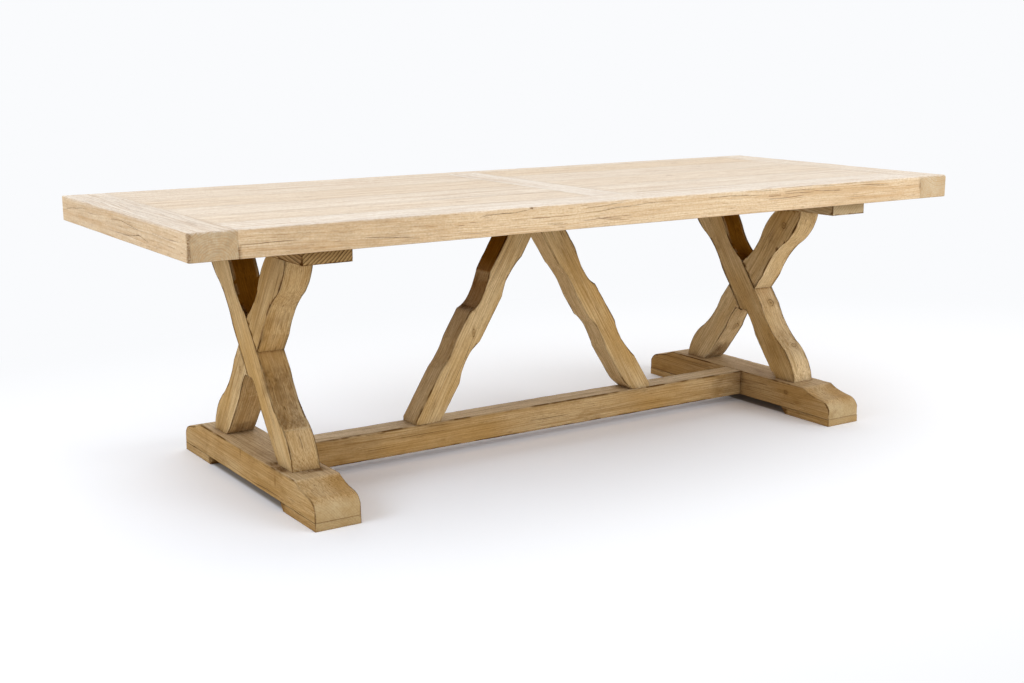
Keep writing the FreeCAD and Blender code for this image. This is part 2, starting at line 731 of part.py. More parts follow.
def brace(name, side):
    """A brace from the stretcher up towards the middle. Side is -1 for the left one."""
    body = new_body(f"brace_{name}", BRACE_FEET[side] * side, ZERO, FOOT_TOP)
    run = BRACE_FEET[side] - BRACE_TOPS[side]
    lean = slope(run, RISE)
    turns = {-1: lean, 1: -lean + 180}
    board = new_sketch(body, "board", "XZ_Plane", turns[side])
    draw_loop(board, brace_outline(name, side, run))
    add_pad(body, board, S.brace_thickness)

    reach = S.brace_width * 3
    cuts = new_sketch(body, "saw_cuts", "XZ_Plane")
    middle = S.brace_meeting_shift - BRACE_FEET[side] * side
    draw_box(cuts, reach * side, -reach, reach * -side, ZERO)
    draw_box(cuts, reach * side * 2, RISE, middle, RISE + reach)
    draw_box(cuts, middle, RISE - reach, middle - reach * side, RISE + reach)
    draw_box(cuts, S.brace_toe * side, ZERO, reach * side, reach)
    add_cut(body, cuts, S.brace_thickness * 2)

    top_x = run * -side
    half = S.brace_tenon_width / 2
    tenons = new_sketch(body, "tenons", "XZ_Plane")
    draw_box(tenons, -half, -S.brace_foot_tenon, half, ZERO)
    draw_box(tenons, top_x - half, RISE, top_x + half, RISE + S.brace_top_tenon)
    add_pad(body, tenons, S.brace_tenon_thickness)

    web = S.stretcher_height - S.brace_foot_tenon - S.screw_recess
    drill_pilots(body, "foot", [(ZERO, ZERO)], -S.brace_foot_tenon,
                 S.brace_screw_length - web + S.tip_clearance)
    seat = S.cleat_thickness - S.screw_recess - S.brace_top_tenon
    drill_pilots(body, "top", [(top_x, ZERO)], RISE + S.brace_top_tenon,
                 S.top_screw_length - seat + S.tip_clearance, False)


# Screws


def cylinder(name, x, y, z, radius, height):
    """An upright cylinder from z, as part of a screw."""
    rod = doc.addObject("Part::Cylinder", name)
    bind(rod, "Radius", radius)
    bind(rod, "Height", height)
    place(rod, x, y, z)
    return rod


def screw_group(label, spots, face, length, up=True):
    """Screws let into a face by the recess: the head sits on the recess floor, the shank runs on."""
    screws = []
    for count, (x, y) in enumerate(spots, start=1):
        if up:
            seat = face + S.screw_recess
            head_z = seat - S.screw_head_height
            shank_z = seat
        else:
            seat = face - S.screw_recess
            head_z = seat
            shank_z = seat - length
        head = cylinder(f"{label}_head_{count}", x, y, head_z, S.screw_head_radius, S.screw_head_height)
        shank = cylinder(f"{label}_shank_{count}", x, y, shank_z, S.screw_radius, length)
        screw = doc.addObject("Part::Fuse", f"{label}_{count}")
        screw.Base = head
        screw.Tool = shank
        screws.append(screw)
    group = doc.addObject("Part::Compound", label)
    group.Label = label
    group.Links = screws
    pieces.append(group)


def all_screws():
    ends = (-1, 1)
    legs = [(TRESTLE_X * side, S.leg_spread / 2 * end) for side in ends for end in ends]
    pads = [(TRESTLE_X * side, y) for side in ends for end in ends for y in pad_screw_ys(end)]
    for name, side in SIDES:
        spots = cleat_screw_spots(name, side)
        screw_group(f"cleat_screws_{name}", spots, CLEAT_UNDERSIDE, S.top_screw_length)
    screw_group("centre_cleat_screws", centre_screw_spots(), CLEAT_UNDERSIDE, S.top_screw_length)
    screw_group("leg_top_screws", legs, TOP_UNDERSIDE, S.top_screw_length, False)
    screw_group("leg_foot_screws", legs, S.pad_thickness, S.leg_screw_length)
    screw_group("stretcher_screws", stretcher_screw_spots(-1) + stretcher_screw_spots(1),
                S.pad_thickness, S.stretcher_screw_length)
    screw_group("brace_foot_screws", BRACE_FOOT_SPOTS, STRETCHER_UNDERSIDE, S.brace_screw_length)
    screw_group("brace_top_screws", BRACE_TOP_SPOTS, TOP_UNDERSIDE, S.top_screw_length, False)
    screw_group("foot_pad_screws", pads, ZERO, S.pad_screw_length)


def build_table():
    front_edge_board()
    back_edge_board()
    centre_cross_board()
    centre_cleat()
    stretcher()
    for name, side in SIDES:
        breadboard_end(name, side)
        field_planks(name, side)
        trestle_cleat(name, side)
        foot(name, side)
        brace(name, side)
        for end_name, end_side in (("front", -1), ("back", 1)):
            leg(f"leg_{name}_{end_name}", side, end_side)
            foot_pad(name, side, end_name, end_side)
    all_screws()


def check_and_write():
    doc.recompute()
    for item in doc.Objects:
        if {"Invalid", "Error"} & set(item.State):
            raise RuntimeError(f"{item.Label} failed: {item.State}")
    for piece in pieces:
        if piece.Shape.isNull() or not piece.Shape.isValid():
            raise RuntimeError(f"{piece.Label} has no valid shape")
    os.makedirs("parts", exist_ok=True)
    for piece in pieces:
        piece.Shape.exportStep(f"parts/{piece.Label}.step")
        print(piece.Label, len(piece.Shape.Solids), round(piece.Shape.Volume / 1000, 2))


build_table()
check_and_write()
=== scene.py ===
import math
import random

import bmesh
import bpy
from mathutils import Matrix, Vector, noise
from mathutils.bvhtree import BVHTree


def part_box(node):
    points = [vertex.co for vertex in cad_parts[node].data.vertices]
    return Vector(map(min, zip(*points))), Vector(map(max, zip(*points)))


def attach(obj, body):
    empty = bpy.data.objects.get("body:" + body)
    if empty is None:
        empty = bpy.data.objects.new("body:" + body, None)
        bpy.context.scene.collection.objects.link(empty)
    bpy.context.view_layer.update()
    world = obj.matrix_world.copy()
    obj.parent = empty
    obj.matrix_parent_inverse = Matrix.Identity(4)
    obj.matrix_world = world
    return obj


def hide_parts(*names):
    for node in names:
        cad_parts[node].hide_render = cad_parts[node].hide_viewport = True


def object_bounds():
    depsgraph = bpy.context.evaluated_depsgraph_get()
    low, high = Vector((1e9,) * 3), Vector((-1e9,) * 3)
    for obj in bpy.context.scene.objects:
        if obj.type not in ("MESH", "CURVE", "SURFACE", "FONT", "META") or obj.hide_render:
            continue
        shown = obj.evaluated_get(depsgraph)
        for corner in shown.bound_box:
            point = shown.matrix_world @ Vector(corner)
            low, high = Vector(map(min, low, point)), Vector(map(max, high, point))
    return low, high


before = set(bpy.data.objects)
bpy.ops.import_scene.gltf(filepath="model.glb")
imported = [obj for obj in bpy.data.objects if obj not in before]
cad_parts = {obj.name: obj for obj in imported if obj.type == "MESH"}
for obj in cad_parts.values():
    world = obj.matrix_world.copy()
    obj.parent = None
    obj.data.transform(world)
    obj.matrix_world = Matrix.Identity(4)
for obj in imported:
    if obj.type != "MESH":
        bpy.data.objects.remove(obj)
cad_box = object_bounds()

# An old elm table: a bleached plank top on two crossed trestles, a low stretcher and two wavy braces.
# Lengths are in metres. X runs along the top, Y from front to back and Z up from the floor.

MM = 0.001
X, Y, Z = Vector((1, 0, 0)), Vector((0, 1, 0)), Vector((0, 0, 1))
TABLE_LOW, TABLE_HIGH = Vector(cad_box[0]), Vector(cad_box[1])

# The photograph's camera
PHOTO_WIDTH = 1024
FOCAL_PIXELS = 1412.7
SENSOR_WIDTH = 36.0
CAMERA_PLACE = Vector((-2.34686, -3.47274, 1.17857))
CAMERA_YAW = 0.57927
CAMERA_PITCH = 0.20842
CAMERA_ROLL = 0.00246

# Levels at which the pieces meet
PAD_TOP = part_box("foot_pad_left_front")[1].z
FOOT_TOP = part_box("foot_left")[1].z
STRETCHER_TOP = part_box("stretcher")[1].z
CLEAT_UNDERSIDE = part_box("cleat_left")[0].z
TOP_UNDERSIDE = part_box("cleat_left")[1].z

# Rounding of the arrises, and how unevenly they are worn
TOP_ARRIS = 7.0 * MM
UNDER_ARRIS = 3.0 * MM
CORNER_ARRIS = 9.0 * MM
SEAM_ARRIS = 0.7 * MM
LEG_ARRIS = 3.5 * MM
BRACE_ARRIS = 3.0 * MM
FOOT_ARRIS = 3.0 * MM
PAD_ARRIS = 0.6 * MM
CLEAT_ARRIS = 1.5 * MM
ARRIS_SEGMENTS = 3
ARRIS_WANDER = 0.6
WANDER_LONG, WANDER_SHORT = 0.09, 0.03
ARRIS_CHEW = 1.5 * MM
CHEW_SIZE = 0.02
NICK_SPREAD = 2.2
WORN_RIM = 8 * MM

# Unevenness of the faces: a share and a size for its long waves and for its short ones
SIDE_WAVES = ((0.9, 0.16), (0.5, 0.045))
FACE_WAVES = ((0.65, 0.11), (0.35, 0.035))
TOP_SINK = 0.5 * MM
TOP_WAVE = 0.2

# Rims of a board, where its grid is close, and the edges of a box as pairs of axes and sides
OUTER_RIM = 15 * MM
SEAM_RIM = 1.5 * MM
RIM_SHARES = (0, 0.15, 0.35, 0.6, 1.0)
BOX_EDGES = [((a, b), (s, r)) for a, b in ((0, 2), (1, 2), (0, 1)) for s in (-1, 1) for r in (-1, 1)]
FRONT_UPPER_EDGE = ((1, 2), (-1, 1))

# What tells flat faces, arrises, creases and the small facets of holes and curves apart
FLAT_ANGLE = math.radians(0.6)
SHARP_ANGLE = math.radians(25)
SMOOTH_ANGLE = math.radians(38)
CREASE_ANGLE = math.radians(6)
CREASE_FACET = 6 * MM
CREASE_SQUARE = 0.999
HOLE_FACET = 2.5 * MM
WELD = 0.01 * MM
SNAP = 0.8 * MM

# Half a leg's width, and where the legs of a trestle cross
LEG_HALF = 49 * MM
LAP_REACH = 50 * MM
LAP_HEIGHT, LAP_RISE = 0.38, 0.1

# Form of a split: uneven width and depth, sway and lean, with the size of each one's waves
SPLIT_OPENING = 0.9 * MM
SPLIT_SPACING = 4 * MM
SPLIT_OVERSHOOT = 0.6 * MM
SPLIT_SEED = 1.7
SPLIT_TIP, SPLIT_TAPER = 0.02, 0.45
SPLIT_THIN, SPLIT_SWELL, SWELL_WAVE = 0.35, 1.1, 0.016
SPLIT_SHALLOW = 0.3
SPLIT_SWAY, SWAY_WAVE = 1.3, 0.04
SPLIT_JITTER, JITTER_WAVE = 0.3, 0.012
SPLIT_LEAN, LEAN_WAVE = 0.2, 0.06

# A chisel cut: heights of its lower and upper end and its depth, in millimetres
CHISEL_CUTS = {"leg_left_front": (203, 338, 3.0)}
CUT_FACING = 0.4
CUT_SLACK = 0.001
# How much darker a face grows with each millimetre of the chisel cut's depth
CUT_DARKENING = 0.22
STEP_RUN = 3.0 * MM

# Dirt in the joints, and in the base a wider patch of dirt and painted shade round them: how far it reaches
# and how strong it is
SEAM_LINE = 2.5 * MM
SEAM_REACH = 1.5 * MM
DIRT_AND_SHADE_REACH = 9 * MM
LINE_STAIN = 0.85
PAD_SEAM_STAIN = 0.4
BOARD_STAIN = 0.3
JOINT_DIRT_AND_SHADE = 0.55
SPOT_FADE = (1.0, 0.6)

# How squarely a face looks one way, from where a rule starts to hold to where it holds in full
NAMED_FACING = (0.3, 0.6)
TOP_BELOW = (0.6, 0.9)
BELOW = (0.4, 0.9)
UPWARD = (0.12, 0.35)
END_FACING = (0.48, 0.88)

# Bleached upper faces, and heights between which painted shade comes in on the upward faces under the top
LIME_EDGE = 5 * MM
SHADE_RISE = {"leg": (0.34, 0.46), "brace": (0.3, 0.62)}
# Height of the ledge in a brace above which the painted shade is stronger
LEDGES = {"brace_left": 0.424}
LEDGE_SHADE = 0.18

# Ranges of the random draws: seeds of the noise, and shift of a piece along its grain
SEEDS = 50
GRAIN_SHIFT = 9
rng = random.Random(7)


def cloud(place, size, seed):
    """Smooth noise from -1 to 1, with features of about the given size."""
    return noise.noise(Vector(place) / size + Vector((seed * 7.3, seed * 3.1, seed * 5.7)))


def half_cloud(place, size, seed):
    """Smooth noise from 0 to 1."""
    return 0.5 + 0.5 * cloud(place, size, seed)


def two_waves(place, waves, seed):
    """Long waves with short ones on them, from 0 to the sum of their shares."""
    (deep, long), (shallow, short) = waves
    return deep * half_cloud(place, long, seed) + shallow * half_cloud(place, short, seed + 3)


# Boards of the top, as rounded boxes on a grid

def visible_box(node):
    """The part of a board that shows: its top face's rectangle, down to its underside."""
    low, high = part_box(node)
    spots = [v.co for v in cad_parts[node].data.vertices if v.co.z > high.z - SNAP]
    xs = [spot.x for spot in spots]
    ys = [spot.y for spot in spots]
    return Vector((min(xs), min(ys), low.z)), Vector((max(xs), max(ys), high.z))


def cuts_along(low, high, step, rims):
    """Grid lines along one axis, close together near both ends."""
    start, end = low + rims[0], high - rims[1]
    count = max(1, round((end - start) / step))
    middle = [start + (end - start) * i / count for i in range(1, count)]
    near = [low + rims[0] * share for share in RIM_SHARES]
    return near + middle + [high - rims[1] * share for share in reversed(RIM_SHARES)]


def grid_box(cuts):
    """A closed box of quads over three lists of grid lines."""
    bm = bmesh.new()
    spots = {}
    last = [len(c) - 1 for c in cuts]

    def spot(index):
        if index not in spots:
            spots[index] = bm.verts.new([cuts[axis][index[axis]] for axis in range(3)])
        return spots[index]

    for axis in range(3):
        a, b = (axis + 1) % 3, (axis + 2) % 3
        for end in (0, last[axis]):
            for i in range(last[a]):
                for j in range(last[b]):
                    ring = []
                    for da, db in ((0, 0), (1, 0), (1, 1), (0, 1)):
                        index = [0, 0, 0]
                        index[axis], index[a], index[b] = end, i + da, j + db
                        ring.append(spot(tuple(index)))
                    bm.faces.new(ring if end else reversed(ring))
    return bm


def round_edge(gaps, sides, axes, radius):
    """How far rounding one edge of a box moves a point at these gaps from the edge's two faces."""
    move = Vector((0, 0, 0))
    reach = max(gaps)
    if reach >= radius:
        return move
    angle = (1 - reach / radius) * math.pi / 4
    shallow = radius - radius * math.cos(angle)
    deep = radius - radius * math.sin(angle) - reach
    pulls = (shallow, deep) if gaps[0] <= gaps[1] else (deep, shallow)
    for axis, side, pull in zip(axes, sides, pulls):
        move[axis] = -side * pull
    return move


def arris_radius(axes, sides, outer, along, seed):
    """The radius of one edge of a board at a place along it, worn unevenly where it shows."""
    open_sides = [outer[(a, s)] for a, s in zip(axes, sides) if a < 2]
    if 2 not in axes:
        return CORNER_ARRIS if all(open_sides) else SEAM_ARRIS
    if not open_sides[0]:
        return SEAM_ARRIS
    size = TOP_ARRIS if sides[axes.index(2)] > 0 else UNDER_ARRIS
    wander = cloud((along, 0, 0), WANDER_LONG, seed) + 0.5 * cloud((along, 0, 0), WANDER_SHORT, seed + 5)
    return size * (1 + ARRIS_WANDER * wander)


def nick_depth(place, nicks):
    """Extra wear of the upper arris near knocked spots, each a place along it and a size."""
    return sum(size * math.exp(-((place - spot) / (size * NICK_SPREAD)) ** 2) for spot, size in nicks)


def gap_to(place, low, high, axis, side):
    """How far a place lies from one side of a box."""
    return place[axis] - low[axis] if side < 0 else high[axis] - place[axis]


def board_cuts(low, high, outer, steps):
    """Grid lines along the three axes of a board."""
    cuts = []
    for axis in (0, 1):
        rims = [OUTER_RIM if outer[(axis, side)] else SEAM_RIM for side in (-1, 1)]
        cuts.append(cuts_along(low[axis], high[axis], steps[axis] * MM, rims))
    return cuts + [cuts_along(low.z, high.z, steps[2] * MM, (OUTER_RIM / 2, OUTER_RIM))]


def arris_move(place, low, high, outer, nicks, seed):
    """How far rounding the arrises of a board moves a point of it."""
    move = Vector((0, 0, 0))
    for axes, sides in BOX_EDGES:
        gaps = [gap_to(place, low, high, axis, side) for axis, side in zip(axes, sides)]
        if max(gaps) > OUTER_RIM:
            continue
        along = place[3 - sum(axes)]
        radius = arris_radius(axes, sides, outer, along, seed + sum(sides) + axes[0] * 3)
        if nicks and (axes, sides) == FRONT_UPPER_EDGE:
            radius += nick_depth(along, nicks)
        move += round_edge(gaps, sides, axes, min(radius, OUTER_RIM))
    return move


def sink_faces(move, place, low, high, outer, seed):
    """Moves a point of a board's outer and upper faces a little further in."""
    for (axis, side), shows in outer.items():
        if shows and gap_to(place, low, high, axis, side) < WELD:
            move[axis] -= side * two_waves(place, SIDE_WAVES, seed) * MM
    if high.z - place.z < WELD:
        move.z -= TOP_SINK * half_cloud(place, TOP_WAVE, seed + 9)


def worn_board(node, steps, nicks=()):
    """A board of the top with rounded arrises and slightly uneven faces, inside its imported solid."""
    low, high = visible_box(node)
    seed = rng.uniform(0, SEEDS)
    outer = {}
    for axis in (0, 1):
        outer[(axis, -1)] = low[axis] < TABLE_LOW[axis] + SNAP
        outer[(axis, 1)] = high[axis] > TABLE_HIGH[axis] - SNAP
    bm = grid_box(board_cuts(low, high, outer, steps))
    for vert in bm.verts:
        place = vert.co.copy()
        move = arris_move(place, low, high, outer, nicks, seed)
        sink_faces(move, place, low, high, outer, seed)
        vert.co = place + move
    return bm


# Splits in the boards, cut out as thin wedges

def split_stations(points):
    """Points close together along a line of a few corners."""
    stations = []
    for start, end in zip(points, points[1:]):
        count = max(1, round((end - start).length / SPLIT_SPACING))
        stations += [start.lerp(end, i / count) for i in range(count)]
    return stations + [points[-1]]


def split_corners(spot, share, across, normal, opening, depth, seed):
    """The two lips and the root of a wedge at one station of its line."""
    swell = math.sin(math.pi * (SPLIT_TIP + (1 - 2 * SPLIT_TIP) * share)) ** SPLIT_TAPER
    swell *= SPLIT_THIN + SPLIT_SWELL * half_cloud(spot, SWELL_WAVE, seed)
    half = 0.5 * opening * swell
    deep = depth * (SPLIT_SHALLOW + (1 - SPLIT_SHALLOW) * swell)
    sway = SPLIT_SWAY * cloud(spot, SWAY_WAVE, seed + 2)
    sway += SPLIT_JITTER * cloud(spot, JITTER_WAVE, seed + 3)
    centre = spot + across * sway * MM
    lip = half * (1 + SPLIT_OVERSHOOT / deep)
    lean = across * deep * SPLIT_LEAN * cloud(spot, LEAN_WAVE, seed + 4)
    return (centre + across * lip + normal * SPLIT_OVERSHOOT,
            centre - across * lip + normal * SPLIT_OVERSHOOT,
            centre - normal * deep + lean)


def add_split(bm, points, normal, opening, depth, seed):
    """One ragged wedge along a wavy line on a flat face, closed at both ends."""
    stations = split_stations(points)
    along = (points[-1] - points[0]).normalized()
    across = normal.cross(along)
    rings = []
    for i, spot in enumerate(stations):
        share = i / (len(stations) - 1)
        corners = split_corners(spot, share, across, normal, opening, depth, seed)
        rings.append([bm.verts.new(corner) for corner in corners])
    for first, second in zip(rings, rings[1:]):
        for i in range(3):
            j = (i + 1) % 3
            bm.faces.new((first[i], first[j], second[j], second[i]))
    bm.faces.new(reversed(rings[0]))
    bm.faces.new(rings[-1])


def drop_slivers(mesh):
    """Cuts many-sided faces into triangles and takes out those that hang loose."""
    bm = bmesh.new()
    bm.from_mesh(mesh)
    bmesh.ops.triangulate(bm, faces=[face for face in bm.faces if len(face.verts) > 4])
    loose = [face for face in bm.faces if any(edge.is_boundary for edge in face.edges)]
    bmesh.ops.delete(bm, geom=loose, context="FACES")
    bm.to_mesh(mesh)
    bm.free()


def cut_splits(piece, splits, material):
    """Cuts wedges out of a piece. The cut faces take the given material."""
    bm = bmesh.new()
    for number, (points, normal, opening, depth) in enumerate(splits):
        add_split(bm, points, normal, opening * SPLIT_OPENING, depth * MM, number * SPLIT_SEED)
    bmesh.ops.recalc_face_normals(bm, faces=bm.faces[:])
    cutter = new_piece("splits", bm, material)
    mesh = cutter.data
    modifier = piece.modifiers.new("splits", "BOOLEAN")
    modifier.operation = "DIFFERENCE"
    modifier.solver = "EXACT"
    modifier.use_self = True
    modifier.material_mode = "TRANSFER"
    modifier.object = cutter
    graph = bpy.context.evaluated_depsgraph_get()
    cut = bpy.data.meshes.new_from_object(piece.evaluated_get(graph))
    piece.modifiers.clear()
    drop_slivers(cut)
    piece.data = cut
    bpy.data.objects.remove(cutter)
    bpy.data.meshes.remove(mesh)


# Trestles, braces, feet and cleats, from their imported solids

def packed_solid(node):
    """The node's mesh with its flat faces made whole."""
    bm = bmesh.new()
    bm.from_mesh(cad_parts[node].data)
    bmesh.ops.remove_doubles(bm, verts=bm.verts[:], dist=WELD)
    bmesh.ops.dissolve_limit(bm, angle_limit=FLAT_ANGLE, verts=bm.verts[:], edges=bm.edges[:])
    return bm


def is_arris(edge):
    """Whether an edge stands out sharply and isn't part of a small hole."""
    if len(edge.link_faces) != 2 or not edge.is_convex or edge.calc_length() < HOLE_FACET:
        return False
    return edge.calc_face_angle() > SHARP_ANGLE


def ease_edges(bm, edges, width):
    """Rounds the given edges and marks the faces that this makes."""
    mark = bm.faces.layers.int.get("arris") or bm.faces.layers.int.new("arris")
    if edges:
        made = bmesh.ops.bevel(bm, geom=edges, offset=width, offset_type="OFFSET",
                               segments=ARRIS_SEGMENTS, profile=0.5, affect="EDGES", clamp_overlap=True)
        for face in made["faces"]:
            face[mark] = 1


def slice_up(bm, axes, steps):
    """Cuts the faces along planes across each axis, so that they can take a little unevenness."""
    for axis, step in zip(axes, steps):
        reach = [v.co.dot(axis) for v in bm.verts]
        count = int((max(reach) - min(reach)) / step)
        first = (max(reach) + min(reach) - (count - 1) * step) / 2
        for i in range(count):
            geometry = bm.verts[:] + bm.edges[:] + bm.faces[:]
            bmesh.ops.bisect_plane(bm, geom=geometry, dist=SNAP, plane_co=axis * (first + i * step),
                                   plane_no=axis)


def cut_across(bm, spot, normal):
    """Grid lines where a plane meets a piece."""
    bmesh.ops.bisect_plane(bm, geom=bm.verts[:] + bm.edges[:] + bm.faces[:], dist=WELD, plane_co=spot,
                           plane_no=normal)


def cut_levels(bm, node):
    """Grid lines at a chisel cut's step and beside the joints, where thin lines of dirt lie."""
    levels = []
    if node in CHISEL_CUTS:
        step = CHISEL_CUTS[node][0] * MM
        levels += [step - STEP_RUN, step]
    if node.startswith("foot"):
        levels.append(PAD_TOP + (-SEAM_LINE if "pad" in node else SEAM_LINE))
    if node.startswith("leg"):
        levels.append(FOOT_TOP + SEAM_LINE)
        cut_laps(bm, node)
    if node.startswith("brace"):
        levels.append(STRETCHER_TOP + SEAM_LINE)
    if "pad" in node:
        levels.append(SEAM_LINE)
    if node == "stretcher":
        cut_across(bm, X * (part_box("foot_left")[1].x + SEAM_LINE), X)
        cut_across(bm, X * (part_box("foot_right")[0].x - SEAM_LINE), X)
    for level in levels:
        cut_across(bm, Z * level, Z)


def crossing_leg(node):
    """The other leg of the same trestle."""
    return node.replace("front", "back") if "front" in node else node.replace("back", "front")


def cut_laps(bm, node):
    """Grid lines on a leg beside both edges of the leg that crosses it."""
    start, crossing = lean_axis(crossing_leg(node))
    side = crossing.cross(X)
    for way in (-1, 1):
        cut_across(bm, start + side * way * (LEG_HALF + SEAM_LINE), side)


def chisel_depth(node, vert):
    """A shallow cut across the front of a leg, ending in a crisp step at its lower end."""
    if node not in CHISEL_CUTS or vert.normal.y > -CUT_FACING:
        return 0.0
    low, high, depth = CHISEL_CUTS[node]
    share = (high - vert.co.z / MM) / (high - low)
    return depth * MM * min(1.0, 2 * share) if 0 < share <= 1 + CUT_SLACK else 0.0


def uneven(bm, node, amount, seed, shows):
    """Sinks the faces that show by a little, more here and less there, and more along the arrises."""
    bm.normal_update()
    mark = bm.faces.layers.int["arris"]
    for vert in bm.verts:
        if shows(vert.co):
            sink = amount * two_waves(vert.co, FACE_WAVES, seed) + chisel_depth(node, vert)
            if any(face[mark] for face in vert.link_faces):
                sink += ARRIS_CHEW * half_cloud(vert.co, CHEW_SIZE, seed + 7) ** 2
            vert.co -= vert.normal * sink


def mark_creases(bm, cross):
    """Keeps the corners of a wavy outline crisp. The short facets of its curves stay smooth."""
    for edge in bm.edges:
        run = edge.verts[1].co - edge.verts[0].co
        if len(edge.link_faces) != 2 or abs(run.dot(cross)) < CREASE_SQUARE * run.length:
            continue
        heights = [face.calc_area() / run.length for face in edge.link_faces]
        if edge.calc_face_angle() > CREASE_ANGLE and min(heights) > CREASE_FACET:
            edge.smooth = False


def worn_solid(node, arrises, axes, steps, amount, shows):
    """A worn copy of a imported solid. Arrises maps a width to the rule that picks its edges."""
    bm = packed_solid(node)
    mark_creases(bm, axes[1])
    for width, rule in arrises:
        ease_edges(bm, [e for e in bm.edges if is_arris(e) and rule(e)], width)
    slice_up(bm, axes, steps)
    cut_levels(bm, node)
    uneven(bm, node, amount, rng.uniform(0, SEEDS), shows)
    for edge in bm.edges:
        if len(edge.link_faces) == 2 and edge.calc_face_angle() > SMOOTH_ANGLE:
            edge.smooth = False
    return bm


def middle_of(edge):
    return (edge.verts[0].co + edge.verts[1].co) / 2


def on_faces(axis, low, high):
    """A rule for edges that lie in either of two faces across an axis."""
    def rule(edge):
        return any(all(abs(v.co[axis] - face[axis]) < SNAP for v in edge.verts) for face in (low, high))
    return rule


# Materials

def srgb(red, green, blue):
    """A linear colour from the everyday 0 to 255 scale."""
    shares = [c / 255 for c in (red, green, blue)]
    return [c / 12.92 if c <= 0.04045 else ((c + 0.055) / 1.055) ** 2.4 for c in shares] + [1.0]


class Graph:
    """Adds shader nodes to a node tree and wires them up."""

    def __init__(self, tree):
        self.tree = tree
        tree.nodes.clear()

    def node(self, kind, inputs=(), **settings):
        made = self.tree.nodes.new("ShaderNode" + kind)
        for key, value in settings.items():
            setattr(made, key, value)
        for socket, value in inputs:
            self.feed(made.inputs[socket], value)
        return made

    def feed(self, socket, value):
        if isinstance(value, bpy.types.NodeSocket):
            self.tree.links.new(value, socket)
        else:
            socket.default_value = value

    def attribute(self, name, output):
        return self.node("Attribute", attribute_name=name).outputs[output]

    def math(self, operation, *values):
        return self.node("Math", list(enumerate(values)), operation=operation).outputs[0]

    def times(self, *values):
        product = values[0]
        for value in values[1:]:
            product = self.math("MULTIPLY", product, value)
        return product

    def vector(self, operation, *values, output="Vector"):
        made = self.node("VectorMath", list(enumerate(values)), operation=operation)
        return made.outputs[output]

    def stretched(self, vector, scales):
        return self.vector("MULTIPLY", vector, scales)

    def noise(self, vector, detail=2.0, roughness=0.5, output="Fac"):
        inputs = [("Vector", vector), ("Scale", 1.0), ("Detail", detail), ("Roughness", roughness)]
        return self.node("TexNoise", inputs).outputs[output]

    def span(self, value, low, high, start=0.0, end=1.0):
        inputs = list(enumerate((value, low, high, start, end)))
        return self.node("MapRange", inputs, interpolation_type="SMOOTHSTEP").outputs[0]

    def mix(self, share, first, second, blend="MIX"):
        inputs = [(0, share), (6, first), (7, second)]
        return self.node("Mix", inputs, data_type="RGBA", blend_type=blend).outputs[2]

    def blend(self, share, first, second):
        return self.node("MixShader", [(0, share), (1, first), (2, second)]).outputs[0]

    def finish(self, colour, roughness, height, bump, specular, metallic=0.0):
        relief = [("Strength", bump), ("Distance", RELIEF_DEPTH), ("Height", height)]
        normal = self.node("Bump", relief).outputs[0]
        inputs = [("Base Color", colour), ("Roughness", roughness), ("Normal", normal),
                  ("Specular IOR Level", specular), ("Metallic", metallic)]
        self.output(self.node("BsdfPrincipled", inputs).outputs[0], "OutputMaterial")

    def output(self, shader, kind):
        self.tree.links.new(shader, self.node(kind).inputs[0])


def new_material(name):
    material = bpy.data.materials.new(name)
    material.use_nodes = True
    return material, Graph(material.node_tree)


# Patterns in the wood, first those that bend with its grain: repeats in a metre along and across the grain,
# detail, roughness, the noise where each starts and is full, and its least value if that isn't 0
BENT_PATTERNS = {
    "fibres": (2.4, 360.0, 3.0, 0.6, 0.6, 0.36),
    "streaks": (1.4, 80.0, 4.0, 0.6, 0.5, 0.7),
    "lines": (1.5, 260.0, 1.5, 0.5, 0.67, 0.74),
    "flecks": (26.0, 520.0, 2.0, 0.5, 0.6, 0.7),
}
EVEN_PATTERNS = {
    "speckles": (150.0, 190.0, 3.0, 0.6, 0.4, 0.66),
    "clouds": (2.4, 9.0, 3.0, 0.55, 0.3, 0.7),
    "smudges": (9.0, 17.0, 5.0, 0.65, 0.52, 0.72),
    "patches": (12.0, 25.0, 3.0, 0.55, 0.38, 0.62),
    "blots": (22.0, 46.0, 5.0, 0.68, 0.34, 0.62, 0.35),
}
# Bends of the grain: stretch of the noise and detail
SLOW_BEND = ((1.0, 5.0, 5.0), 2.0)
RIPPLE_BEND = ((8.0, 60.0, 60.0), 3.0)
RING_EDGE = 0.97
RAY_TURN, RAY_REACH, RAY_SPAN = 38.0, 9.0, (0.56, 0.7)
END_FIBRES = 0.15
ARRIS_SPAN = (0.6, 1.0)
LEAST_GRIME = 0.3
PIT_DARK_PATCH, PIT_SPECKLE = (0.45, 0.8), (0.5, 0.9)
LATE_RELIEF = 0.5
RELIEF_DEPTH = 0.6 * MM
SUNKEN = {"flecks": -0.7, "fibres": -0.4, "lines": -1.0}
STREAK_ROUGHNESS = 0.1
DULL_DIRT_AND_SHADE = 0.6

# Parts of a knot: the reach from its centre, in knot radii, where each starts and where it is full
KNOT_PARTS = {"inside": (1.1, 0.9), "rim": (0.75, 0.95), "in_rim": (1.25, 1.0),
              "heart": (0.45, 0.1), "halo": (2.6, 0.9)}
KNOT_LAYERS = ("knot_a", "knot_b")
KNOT_BEND = (1.2, 1.2, 1.2)
KNOT_RINGS, RING_SPAN = 2.2, (0.3, 0.9)
HALO_SHARE, RING_SHARE, HEART_SHARE = 0.35, 0.3, 0.6
RIM_RANGE = (0.25, 0.75)


